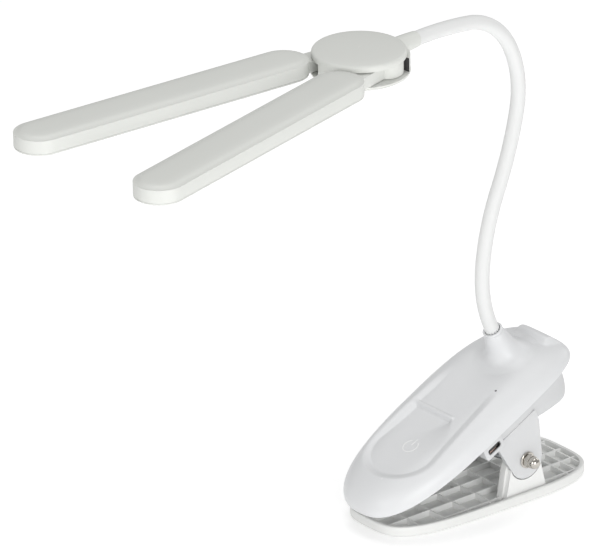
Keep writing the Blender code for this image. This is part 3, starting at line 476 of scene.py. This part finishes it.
# Upper housing: the domed top
shellLook = {"front": 77.5, "rear": 71.0, "half": 33.1, "noseSquare": 2.7, "rearSquare": 3.35, "dome": 12.6,
             "domeRear": 8.1, "droop": 6.1, "around": 640, "step": 0.42, "wall": 1.8,
             "shoulder": 22.0, "roundness": 2.8,            # how far in the dome keeps rising
             "panel": (24.6, -59.6, 17.0),                 # half width, front end, where its sides run straight
             "recess": 1.7, "slope": 5.0, "scoop": 1.7, "ridge": 0.5, "ridgeAt": -8.0,
             "bump": 3.6, "bumpAt": 64.0, "bumpHalf": 6.0, "bumpEnds": (10.5, 14.5)}


def housingPoint(t, inset, tail=0.0):
    c, s = cos(t), sin(t)
    power = shellLook["rearSquare"] if c > 0 else shellLook["noseSquare"]
    reach = (shellLook["rear"] - tail if c > 0 else shellLook["front"]) - inset
    x = abs(c) ** (2 / power) * reach
    y = abs(s) ** (2 / power) * (shellLook["half"] - inset)
    return (x if c > 0 else -x), (y if s > 0 else -y)


def evenAngles(count):
    # angles that space points evenly round the housing, mirrored about its length
    fine = 6000
    track, total, last = [], 0.0, housingPoint(0, 0)
    for i in range(fine + 1):
        here = housingPoint(pi * i / fine, 0)
        total += sqrt((here[0] - last[0]) ** 2 + (here[1] - last[1]) ** 2)
        track.append(total)
        last = here
    half, angles, k = count // 2, [], 0
    for i in range(half + 1):
        want = total * i / half
        while track[k] < want and k < fine:
            k += 1
        angles.append(pi * k / fine)
    return angles + [2 * pi - a for a in angles[-2:0:-1]]


def edgeLevel(x):
    return -shellLook["droop"] * (max(x, 0.0) / shellLook["rear"]) ** 3


def domeHeight(x):
    return shellLook["dome"] - (shellLook["dome"] - shellLook["domeRear"]) * (max(x, 0.0) / shellLook["rear"]) ** 2


def domeShare(inset):
    if inset >= shellLook["shoulder"]:
        return 1.0
    return sqrt(max(1 - (1 - inset / shellLook["shoulder"]) ** shellLook["roundness"], 0.0))


def panelDepth(x, y, half, front, straight):
    # how far a point is inside the U-shaped panel
    centre = front + half * 0.95
    if x < centre:
        return half * (1 - sqrt(((x - centre) / (half * 0.95)) ** 2 + (y / half) ** 2))
    narrow = half * (1 - 0.14 * (x - centre) / (straight - centre))
    return narrow - abs(y)


def recessAt(x, y):
    # the panel slopes in from its rim, with a deeper scoop on one side that ends at a low ridge
    ramp = min(max((panelDepth(x, y, *shellLook["panel"]) + 0.1) / shellLook["slope"], 0.0), 1.0)
    depth = (shellLook["recess"] - 0.011 * x) * (0.55 * ramp + 0.45 * smoothStep(0, 1, ramp))
    depth *= 1 - smoothStep(2.0, 24.0, x)
    spread = 0.7 + 0.8 * max(-9.0 - x, 0.0)
    inPanel = smoothStep(0.35, 1.0, ramp)
    scoop = shellLook["scoop"] * (1 - smoothStep(-10.2, -8.4, x)) * inPanel
    scoop *= smoothStep(-9.5 - spread, -9.5 + spread, y) * smoothStep(-46.0, -16.0, x)
    ridge = shellLook["ridge"] * max(1 - ((x - shellLook["ridgeAt"]) / 1.5) ** 2, 0.0) ** 1.5
    return depth + scoop - ridge * smoothStep(-10.4, -8.8, y) * inPanel


def shellTop(x, y, inset):
    # height of the outside, with the thumb bump across the rear
    level = edgeLevel(x) + domeHeight(x) * domeShare(inset) - recessAt(x, y)
    bump = max(1 - ((x - shellLook["bumpAt"]) / shellLook["bumpHalf"]) ** 2, 0.0) ** 2
    return level + shellLook["bump"] * bump * (1 - smoothStep(*shellLook["bumpEnds"], abs(y)))


def insetAt(x, y):
    # how far inside the outline a point lies, in the family of outlines that the dome is built on
    power = shellLook["rearSquare"] if x > 0 else shellLook["noseSquare"]
    reach = shellLook["rear"] if x > 0 else shellLook["front"]
    low, high = 0.0, shellLook["half"] - abs(y)
    for _ in range(30):
        middle = (low + high) / 2
        size = (abs(x) / (reach - middle)) ** power + (abs(y) / max(shellLook["half"] - middle, 1e-6)) ** power
        low, high = (middle, high) if size < 1 else (low, middle)
    return low


angles = evenAngles(shellLook["around"])
insets = [0, 0.03, 0.1, 0.22, 0.4, 0.65, 0.95]
while insets[-1] < shellLook["half"] - 0.5:
    insets.append(insets[-1] + shellLook["step"])
rings = []
for inset in (24.0, 12.0, 5.0, shellLook["wall"] + 0.5):      # underside, inside the wall
    ring = [housingPoint(t, inset) for t in angles]
    rings.append([(x, y, edgeLevel(x) + domeHeight(x) * domeShare(inset) - 3.6) for x, y in ring])
rings.append([(x, y, edgeLevel(x) + 0.2) for x, y in (housingPoint(t, shellLook["wall"]) for t in angles)])
rings.append([(x, y, edgeLevel(x)) for x, y in (housingPoint(t, 1.4) for t in angles)])
rings.append([(x, y, edgeLevel(x) - 0.02) for x, y in (housingPoint(t, 0.35) for t in angles)])
for inset in insets:
    lift = 0.35 if inset == 0 else 0.0
    rings.append([(x, y, shellTop(x, y, inset) + lift * 0.5) for x, y in (housingPoint(t, inset) for t in angles)])
bm = bmesh.new()
loftInto(bm, rings, ladder=True)
finishPiece("topShell", bm, shellHome, basePlastic, 50, body="upper_housing", nodes=("top_shell",))
print("domed top built")

# Boss under the gooseneck: a skirt that runs out into the dome, and a rolled lip
bossAt, bossTop = neckLook["bossAt"], neckLook["bossTop"]
foot = edgeLevel(bossAt) + domeHeight(bossAt)
tall = bossTop - foot
flare = through([(19.0, 0.0), (17.0, 0.05), (14.8, 0.42), (12.6, 1.35), (10.8, 2.8), (9.2, 5.0), (7.9, 8.0),
                 (6.8, 11.6), (5.95, 15.0), (5.35, tall - 2.4)], 5)
lip = [(5.2, tall - 1.9), (5.28, tall - 1.6), (5.5, tall - 1.35), (5.58, tall - 0.9), (5.55, tall - 0.4),
       (5.35, tall - 0.1), (5.0, tall), (4.5, tall - 0.02), (4.3, tall - 0.25), (4.25, tall - 4.0)]


def bossPoint(radius, height, turn):
    x, y = bossAt + radius * cos(turn), radius * sin(turn)
    follow = smoothStep(6.5, 15.5, radius)
    return x, y, height + foot + (shellTop(x, y, insetAt(x, y)) - foot - 0.02) * follow


bm = bmesh.new()
loftInto(bm, [[bossPoint(r, h, 2 * pi * i / 96) for i in range(96)] for r, h in flare + lip])
finishPiece("neckBoss", bm, shellHome, basePlastic, 55, body="upper_housing")

# Power mark: a fine raised ring with a gap and a bar
markLook = {"s": -33.4, "y": -1.2, "ring": 4.3, "width": 0.22, "high": 0.12, "gap": 28.0}


def markTube(points, width):
    rings = []
    for i, (x, y) in enumerate(points):
        before, after = points[max(i - 1, 0)], points[min(i + 1, len(points) - 1)]
        dx, dy = after[0] - before[0], after[1] - before[1]
        size = sqrt(dx * dx + dy * dy)
        side = (-dy / size, dx / size)
        base = shellTop(x, y, insetAt(x, y))
        share = 0.35 if i in (0, len(points) - 1) else 1.0
        rings.append([(x + side[0] * width * share * cos(a), y + side[1] * width * share * cos(a),
                       base + markLook["high"] * share * sin(a)) for a in [2 * pi * k / 10 for k in range(10)]])
    return rings


bm = bmesh.new()
start, end = markLook["gap"], 360 - markLook["gap"]
ring = [(markLook["s"] + markLook["ring"] * cos(radians(start + (end - start) * i / 60)),
         markLook["y"] + markLook["ring"] * sin(radians(start + (end - start) * i / 60))) for i in range(61)]
loftInto(bm, markTube(ring, markLook["width"]))
loftInto(bm, markTube([(markLook["s"] + 0.6 + i * 0.5, markLook["y"]) for i in range(11)], markLook["width"]))
finishPiece("powerMark", bm, shellHome, markPlastic, 60, body="upper_housing")

# Indicator window, level with the dome
dotLook = {"place": (17.8, -18.2), "radius": 0.62}
bm = bmesh.new()
dotX, dotY = dotLook["place"]
dotTop = shellTop(dotX, dotY, insetAt(dotX, dotY))
latheInto(bm, [(0.02, dotTop - 1.2), (dotLook["radius"], dotTop - 1.2), (dotLook["radius"], dotTop + 0.02),
               (0.5, dotTop + 0.12), (0.02, dotTop + 0.16)], 32, Matrix.Translation((dotX, dotY, 0)))
finishPiece("indicatorWindow", bm, shellHome, pipeClear, 50, body="upper_housing")
print("boss, power mark and window built")


# Upper housing: the tub below, with its ears and the port
tubLook = {"depth": 26.6, "tail": 3.9, "lip": 4.6, "around": 320, "earRound": 11.0, "ears": (26.5, 29.0)}


def tubFloor(s):
    # underside along the housing: shallow at the nose, deepest behind the ears
    deep = tubLook["depth"]
    marks = ((-90, -tubLook["lip"]), (-13, -tubLook["lip"] - 0.4), (-7, -8.4), (3, -10.8), (30, -16.4), (44, -21.6),
             (50, -deep + 2.4), (53.5, -deep + 2.2), (56.5, -deep + 4.0), (60, -deep + 8.0), (63, -deep + 12.0),
             (66, -deep + 14.5), (80, -deep + 15.0))
    for (s0, n0), (s1, n1) in zip(marks[:-1], marks[1:]):
        if s0 <= s <= s1:
            return n0 + (n1 - n0) * (s - s0) / (s1 - s0)
    return marks[-1][1]


def softFloor(s):
    return sum(tubFloor(s + d) for d in (-1.5, -1.0, -0.5, 0, 0.5, 1.0, 1.5)) / 7


def tubRing(inset, share):
    ring = []
    for t in tubAngles:
        x, y = housingPoint(t, inset, tubLook["tail"] * min(max(share, 0.0) * 2, 1.0))
        top = edgeLevel(x) - 0.3 + (2.0 if share == 0 else 0.0)
        ring.append((x, y, top + (softFloor(x) - top) * share))
    return ring


def shrunk(box, by):
    return box[0] + by, box[1] - by, box[2] + by, box[3] - by


tubAngles = evenAngles(tubLook["around"])
bm = bmesh.new()
loftInto(bm, [tubRing(*step) for step in ((4.3, 0), (4.32, 0.2), (4.38, 0.4), (4.5, 0.55), (4.7, 0.7), (5.0, 0.82),
                                          (5.35, 0.89), (5.85, 0.945), (6.5, 0.98), (7.4, 0.997), (8.4, 1.0))],
         ladder=True)
ps, pn = pivotLocal.x, pivotLocal.z
earOutline = arcPoints(ps, pn, tubLook["earRound"], 180, 345, 40)
earOutline += [(ps + 17.2, -15.0), (ps + 17.6, -8.0), (ps - 13.0, -8.0), (ps - 12.4, -14.0)]
for side in (-1, 1):
    low, high = sorted(side * level for level in tubLook["ears"])
    slabInto(bm, earOutline, low, high, "y", edge=0.35)
portLook = {"block": (-11.2, 2.6, -9.6, -0.5), "hole": (-8.6, 0.4, -7.3, -3.9),
            "insert": (-8.0, -0.2, -6.75, -4.45), "tongue": (-7.4, -2.6, -6.9, -6.1)}
block, hole = portLook["block"], portLook["hole"]
loftInto(bm, [[(a, level, b) for a, b in roundedBox(*box, radius, 6)] for box, radius, level in (
    (block, 1.6, -24.0), (block, 1.6, -30.5),
    (shrunk(block, 0.15), 1.5, -31.0), (shrunk(block, 0.6), 1.2, -31.2), (shrunk(hole, -0.25), 1.4, -31.2),
    (hole, 1.2, -30.95), (hole, 1.2, -24.0))])
finishPiece("lowerTub", bm, shellHome, tubShadedPlastic, 34, body="upper_housing", nodes=("lower_tub",))
bm = bmesh.new()
slabInto(bm, roundedBox(*portLook["insert"], 0.7), -29.6, -25.0, "y")
finishPiece("portInsert", bm, shellHome, darkPlastic, body="upper_housing")
bm = bmesh.new()
slabInto(bm, roundedBox(*portLook["tongue"], 0.25), -30.3, -25.5, "y", edge=0.12)
finishPiece("portTongue", bm, shellHome, contact, body="upper_housing")
print("lower tub built")


# Lower jaw: a shallow ribbed tray with two ears
jawLook = {"length": 139.4, "width": 63.0, "height": 5.8, "taper": 0.075, "shift": 0.7, "power": 3.6, "floor": 1.7,
           "rim": 2.2, "rib": 1.15, "around": 300,
           "across": (-51.7, -35.7, -19.7, -3.7, 12.3, 28.3, 50.2, 57.2, 64.8),
           "lanes": (-24.4, -12.2, 0.0, 12.2, 24.4), "draft": 0.16,
           "ears": (22.0, 26.2), "earRound": 10.4, "earFeet": (2.6, 33.4),
           "pads": (22.1, 29.0), "padRound": 11.5, "padFeet": (3.4, 33.0)}


def jawOutline(inset, count):
    a, b = jawLook["length"] / 2 - inset, jawLook["width"] / 2 - inset
    ring = []
    for i in range(count):
        t = 2 * pi * i / count
        x = abs(cos(t)) ** (2 / jawLook["power"]) * (1 if cos(t) > 0 else -1)
        y = abs(sin(t)) ** (2 / jawLook["power"]) * (1 if sin(t) > 0 else -1)
        ring.append((a * x + jawLook["shift"], b * y * (1 + jawLook["taper"] * x)))
    return ring


def jawHalf(x):
    # half width of the tray at x
    u = min(abs((x - jawLook["shift"]) / (jawLook["length"] / 2)), 1.0)
    wide = (1 - u ** jawLook["power"]) ** (1 / jawLook["power"]) * jawLook["width"] / 2
    return wide * (1 + jawLook["taper"] * (x - jawLook["shift"]) / (jawLook["length"] / 2))


top, floorZ, rim = jawLook["height"], jawLook["floor"], jawLook["rim"]
bm = bmesh.new()
steps = [(1.3, 0.0), (0.75, 0.1), (0.3, 0.45), (0.08, 0.95), (0, 1.5), (0, top - 0.9), (0.1, top - 0.4),
         (0.35, top - 0.12), (0.75, top), (rim - 0.45, top), (rim - 0.15, top - 0.12), (rim, top - 0.45),
         (rim + 0.12, floorZ + 0.5), (rim + 0.3, floorZ + 0.12), (rim + 0.8, floorZ)]
loftInto(bm, [[(x, y, z) for x, y in jawOutline(inset, jawLook["around"])] for inset, z in steps])
half = jawLook["rib"] / 2
for x in jawLook["across"]:
    reach = jawHalf(x) - 1.2
    boxInto(bm, (x - half, x + half), (-reach, reach), (floorZ - 0.4, top - 1.0), jawLook["draft"])
for y in jawLook["lanes"]:
    inside = [x / 4 for x in range(-290, 300) if abs(x / 4 - 0.7) < 69.6 and jawHalf(x / 4) > abs(y) + 0.4]
    boxInto(bm, (inside[0] + 1.3, inside[-1] - 1.3), (y - half, y + half), (floorZ - 0.4, top - 0.9),
            jawLook["draft"])
rearFoot, frontFoot = jawLook["earFeet"]
jawEar = [(rearFoot, 1.0), (rearFoot + 2.8, 20.0)] + arcPoints(*clampLook["pivot"], jawLook["earRound"], 165, 15, 24)
jawEar += [(frontFoot - 2.8, 20.0), (frontFoot, 1.0)]
padStart, padEnd = jawLook["padFeet"]
for side in (-1, 1):
    slabInto(bm, jawEar, *sorted(side * level for level in jawLook["ears"]), axis="y", edge=0.25)
    # the pad below the housing's ear follows its round end
    inner, outer = (side * level for level in jawLook["pads"])
    curve = arcPoints(*clampLook["pivot"], jawLook["padRound"], 197, 333, 40)
    for a, b in zip(curve[:-1], curve[1:]):
        span = [(a[0], a[1]), (b[0], b[1])]
        bottom = [(padStart + (padEnd - padStart) * (p[0] - curve[0][0]) / (curve[-1][0] - curve[0][0]), 1.1)
                  for p in span]
        quad = [bottom[0], bottom[1], span[1], span[0]]
        verts = [[bm.verts.new((p[0], level, p[1])) for p in quad] for level in (inner, outer)]
        bm.faces.new(verts[1])
        bm.faces.new(verts[0])
        bm.faces.new((verts[0][2], verts[0][3], verts[1][3], verts[1][2]))
        bm.faces.new((verts[0][0], verts[0][1], verts[1][1], verts[1][0]))
        if a == curve[0]:
            bm.faces.new((verts[0][3], verts[0][0], verts[1][0], verts[1][3]))
        if b == curve[-1]:
            bm.faces.new((verts[0][1], verts[0][2], verts[1][2], verts[1][1]))
bmesh.ops.remove_doubles(bm, verts=bm.verts, dist=0.001)
finishPiece("lowerJaw", bm, Matrix.Identity(4), trayPlastic, 34, body="lower_jaw",
            nodes=("lower_jaw",))
print("lower jaw built")


# Cap nut and washers on the clamp's bolt
nutLook = {"flat": 7.0, "base": -30.4, "high": 3.2}
washerLook = {"bore": 2.3, "radius": 4.6, "thick": 0.8, "sides": {"nut": -30.1, "head": 29.3}}
bm = bmesh.new()
base, corner = nutLook["base"], nutLook["flat"] / 2 / cos(pi / 6)


def hexRing(level, limit):
    # hexagon clipped by a circle, as the chamfer leaves it
    ring = []
    for i in range(72):
        t = 2 * pi * i / 72
        local = (t + pi / 6) % (pi / 3) - pi / 6
        ring.append((min(nutLook["flat"] / 2 / cos(local), limit) * cos(t), level,
                     min(nutLook["flat"] / 2 / cos(local), limit) * sin(t)))
    return ring


top = base - nutLook["high"]
loftInto(bm, [hexRing(base, corner - 0.25), hexRing(base - 0.3, corner), hexRing(top + 0.5, corner),
              hexRing(top, corner - 0.45)])
dome = through([(3.35, base - 3.1), (3.3, base - 4.4), (3.05, base - 5.6), (2.4, base - 6.7), (1.4, base - 7.35),
                (0.02, base - 7.6)], 5)
loftInto(bm, [[(r * cos(2 * pi * i / 48), level, r * sin(2 * pi * i / 48)) for i in range(48)] for r, level in dome])
finishPiece("capNut", bm, pivotHome, nickel, 28, body="lower_jaw", nodes=("cap_nut",))
bore, wide = washerLook["bore"], washerLook["radius"]
for label, low in washerLook["sides"].items():
    high = low + washerLook["thick"]
    bm = bmesh.new()
    latheInto(bm, [(bore, low), (wide - 0.15, low), (wide, low + 0.12), (wide, high - 0.12), (wide - 0.15, high),
                   (bore, high)], 64, alongY, wrap=True)
    finishPiece(f"washer_{label}", bm, pivotHome, nickel, 40, body="lower_jaw",
                nodes=(f"washer_{label}_side",))
print("nut and washers built")


# Clamp spring: a coil with its lower leg by the jaw and its upper leg by the housing
springLook = {"wire": 0.9, "coil": 5.6, "turns": 6, "pitch": 2.6, "steps": 30, "sides": 12,
              "low": (23.0, -17.4), "high": (30.5, 20.6)}  # where each leg ends, ahead of and above the bolt
span = springLook["turns"] * springLook["pitch"]
lowLeg = Vector((springLook["low"][0], -span / 2, springLook["low"][1]))
highLeg = Vector((springLook["high"][0], span / 2, springLook["high"][1]))


def leavesAt(leg, side):
    # angle on the coil where a straight leg touches it
    return atan2(leg.z, leg.x) + side * acos(springLook["coil"] / hypot(leg.x, leg.z))


begin, finish = leavesAt(lowLeg, -1), leavesAt(highLeg, 1)
turned = finish - begin - springLook["turns"] * 2 * pi  # the coil's turn beyond its whole turns, set by where the legs leave it
count = springLook["turns"] * springLook["steps"]
coil = [Vector((springLook["coil"] * cos(begin + turned * i / count), -span / 2 + span * i / count,
                springLook["coil"] * sin(begin + turned * i / count))) for i in range(count + 1)]
route = [lowLeg.lerp(coil[0], i / 8) for i in range(8)] + coil + [coil[-1].lerp(highLeg, i / 8) for i in range(1, 9)]
rings = []
for i, point in enumerate(route):
    along = (route[min(i + 1, len(route) - 1)] - route[max(i - 1, 0)]).normalized()
    across = along.cross(Vector((0, 1, 0))).normalized()
    rise = across.cross(along).normalized()
    rings.append([point + springLook["wire"] * (cos(2 * pi * k / springLook["sides"]) * across
                                                + sin(2 * pi * k / springLook["sides"]) * rise)
                  for k in range(springLook["sides"])])
bm = bmesh.new()
loftInto(bm, rings)
spring = finishPiece("clampSpring", bm, pivotHome, steel, 50, nodes=("torsion_spring",))
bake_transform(spring)
print("clamp spring built")


# Gooseneck: one flexible sleeve, in lengths that each run across one joint
radius = neckLook["radius"]


def tubeRing(home, size, sides=40):
    return [home @ Vector((size * cos(2 * pi * k / sides), size * sin(2 * pi * k / sides), 0)) for k in range(sides)]


for number in range(1, 7):
    if number == 1:
        first = neckHome(bends[0][0])
        homes = [first @ Matrix.Translation((0, 0, -d)) for d in (4.5, 3.4, 2.2, 1.1)]
    else:
        homes = [neckHome(p) for p in bends[number - 2][12:-1]]
    run = bends[number - 1] if number == 6 else bends[number - 1][:13]
    homes += [neckHome(p) for p in run]
    if number == 6:
        homes.append(homes[-1] @ Matrix.Translation((0, 0, 1.5)))
    fine = []
    for a, b in zip(homes[:-1], homes[1:]):      # twice as many rings as the line has points
        fine += [a, a.lerp(b, 0.5)]
    fine.append(homes[-1])
    bm = bmesh.new()
    loftInto(bm, [tubeRing(home, radius) for home in fine])
    sleeve = finishPiece(f"neckSleeve_{number}", bm, Matrix.Identity(4), sleeveRubber, 50,
                         nodes=(f"neck_sleeve_{number}",))
    joint = neckHome(bends[number - 1][0])
    back, ahead = neckLook["footReach"] if number == 1 else neckLook["bendReach"]
    start = (joint @ Vector((0, 0, -back))) * mm
    end = (joint @ Vector((0, 0, ahead))) * mm
    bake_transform(sleeve)
print("gooseneck built")


# Hub: round cover, dish under it and the collar for the gooseneck
bm = bmesh.new()
r = hubLook["radius"]
profile = [(0.02, -hubLook["rim"]), (r - 0.35, -hubLook["rim"]), (r - 0.08, -hubLook["rim"] + 0.12),
           (r, -hubLook["rim"] + 0.4)] + arcPoints(r - 1.5, -1.5, 1.5, 0, 80, 10)
profile += [(r - 2.0, 0.12), (r - 4.0, 0.4), (r - 7.0, 0.65), (r - 11.0, 0.85), (r - 16.0, 1.0), (6.0, 1.02),
            (4.0, 1.035), (2.5, 1.04), (1.2, 1.045), (0.4, 1.05), (0.02, 1.05)]
latheInto(bm, profile, 160)
finishPiece("hubCover", bm, hubHome, headPlastic, 40, body="head", nodes=("hub_cover",))

bm = bmesh.new()
inner, low, slot = hubLook["dish"], -hubLook["height"], hubLook["slotBottom"]
dishHome = Matrix.Translation((hubLook["dishX"], 0, 0))
dish = [(reach, low) for reach in (0.02, 0.4, 1.2, 2.5, 4.0, 6.0, 9.0, 13.0, 17.0, inner - 3.8)]
dish += [(inner - 3.0, low + 0.08), (inner - 1.8, low + 0.45), (inner - 0.8, low + 1.0), (inner - 0.2, low + 1.7),
         (inner, low + 2.3), (inner - 0.08, slot - 0.12), (inner - 0.35, slot), (0.02, slot)]
latheInto(bm, dish, 160, dishHome)
roof = -hubLook["rim"] - 0.25
front = arcPoints(0, 0, r + 0.04, 167, 193, 16) + [(-1.8, -5.2), (-1.8, 5.2)]
slabInto(bm, front, slot - 0.6, -2.1, edge=0.02)
rear = arcPoints(0, 0, inner - 0.25, -57, 57, 48) + [(14.0, 9.0), (12.6, 4.0), (12.6, -4.0), (14.0, -9.0)]
slabInto(bm, rear, slot - 0.6, roof, home=dishHome, edge=0.15)
slabInto(bm, roundedBox(18.0, 27.2, -5.0, 5.0, 1.2), slot - 0.4, roof - 0.1, edge=0.3)
collarHome = Matrix.Translation((0, 0, -hubLook["axis"])) @ alongX
collar = through([(4.95, 24.0), (4.9, 28.0), (4.78, 33.0), (4.55, 37.5), (4.42, 39.8)], 3)
collar += [(4.34, 40.6), (4.2, 41.1), (4.05, 41.4), (3.98, 41.5)]
latheInto(bm, [(0.02, 23.0), (4.95, 23.0)] + collar + [(0.02, 41.5)], 64, collarHome)
finishPiece("hubBase", bm, hubHome, headPlastic, 34, body="head", nodes=("hub_base",))
bm = bmesh.new()
for side in (-1, 1):      # dark slabs behind the arm barrels: painted shadow for the deep gaps in the slots
    shadowSlab = [(14.5, side * 9.5), (14.78, side * 9.5), (14.78, side * 21.5), (14.5, side * 21.7)]
    slabInto(bm, shadowSlab, slot - 0.1, roof - 0.1, edge=0.05)
finishPiece("slotShadowSlabs", bm, hubHome, darkPlastic, body="head")
print("hub built")


# Light bars, their diffusers and the roots they fold on
barLook = {"start": 27.3, "length": 176.0, "width": 26.9, "edge": -1.5, "side": 8.2, "crown": 1.5, "steps": 40,
           "root": (-30.0, 0.0, -5.4, 5.4)}


def barRing(inset, level):
    # the bar's round-ended outline, drawn in by inset
    size = barLook["width"] / 2
    near, far = -barLook["start"] - size, -barLook["start"] - barLook["length"] + size
    ring = []
    for centre, begin in ((near, -pi / 2), (far, pi / 2)):
        for i in range(barLook["steps"] + 1):
            t = begin + pi * i / barLook["steps"]
            ring.append((centre + (size - inset) * cos(t), (size - inset) * sin(t), level))
    return ring


crisp, under = barLook["edge"], barLook["edge"] - barLook["side"]
crownTop = crisp + barLook["crown"]
# (inset, level): up from the tray's inside, over its seam with the cover, to the crowned top
barSteps = [(8.0, under + 1.4), (2.2, under + 1.4), (1.9, under + 0.3), (1.2, under), (0.55, under + 0.05),
            (0.2, under + 0.3), (0.05, under + 0.65), (0.05, under + 0.95), (0.32, under + 1.05),
            (0.32, under + 1.22), (0.0, under + 1.35), (0, crisp - 0.3), (0.08, crisp - 0.08), (0.3, crisp + 0.02)]
barSteps += through([(0.3, crisp + 0.02), (0.9, crisp + 0.08), (1.8, crisp + 0.3), (2.8, crisp + 0.72),
                     (3.9, crisp + 1.15), (5.4, crownTop - 0.08), (8.0, crownTop + 0.1),
                     (11.5, crownTop + 0.16)], 4)[1:]
for label, side in (("left", 1), ("right", -1)):
    home = armHome(side)
    bm = bmesh.new()
    loftInto(bm, [barRing(inset, level) for inset, level in barSteps])
    finishPiece(f"barCover_{label}", bm, home, headPlastic, 24, body=f"arm_{label}",
                nodes=(f"bar_cover_{label}",))
    bm = bmesh.new()
    loftInto(bm, [barRing(inset, level) for inset, level in (
        (2.45, under + 0.15), (2.15, under + 0.3), (2.0, under + 0.6), (2.0, under + 1.5))])
    finishPiece(f"barDiffuser_{label}", bm, home, frosted, 30, body=f"arm_{label}",
                nodes=(f"diffuser_{label}",))
    bm = bmesh.new()
    low, high, size = hubLook["slotBottom"] + 0.3, hubLook["slotTop"] - 0.05, hubLook["barrel"]
    latheInto(bm, [(0.02, low), (size - 0.6, low), (size - 0.15, low + 0.15), (size, low + 0.6), (size, high - 0.6),
                   (size - 0.15, high - 0.15), (size - 0.6, high), (0.02, high)], 96)
    slabInto(bm, roundedBox(*barLook["root"], 0.6), low + 0.4, high - 0.2, edge=0.45)
    finishPiece(f"armRoot_{label}", bm, home, headPlastic, 34, body=f"arm_{label}",
                nodes=(f"arm_{label}",))
print("bars built")


# Finishes for the CAD pieces that stay
kept = {"pivot_bolt": nickel, "pivot_sleeve": steel, "charge_port": portMetal,
        "port_board": boardGreen, "control_board": boardGreen, "battery_cell": cellWrap, "touch_sensor": copper,
        "indicator_pipe": pipeClear, "neck_lock_nut": steel, "neck_base_fitting": steel,
        "neck_head_ferrule": steel}
for name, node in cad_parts.items():
    if node.hide_render:
        continue
    chosen = kept.get(name, boardGreen if "strip" in name else steel)
    node.data.materials.clear()
    node.data.materials.append(chosen)
    node.data.shade_smooth()
    node.data.set_sharp_from_angle(angle=radians(35))
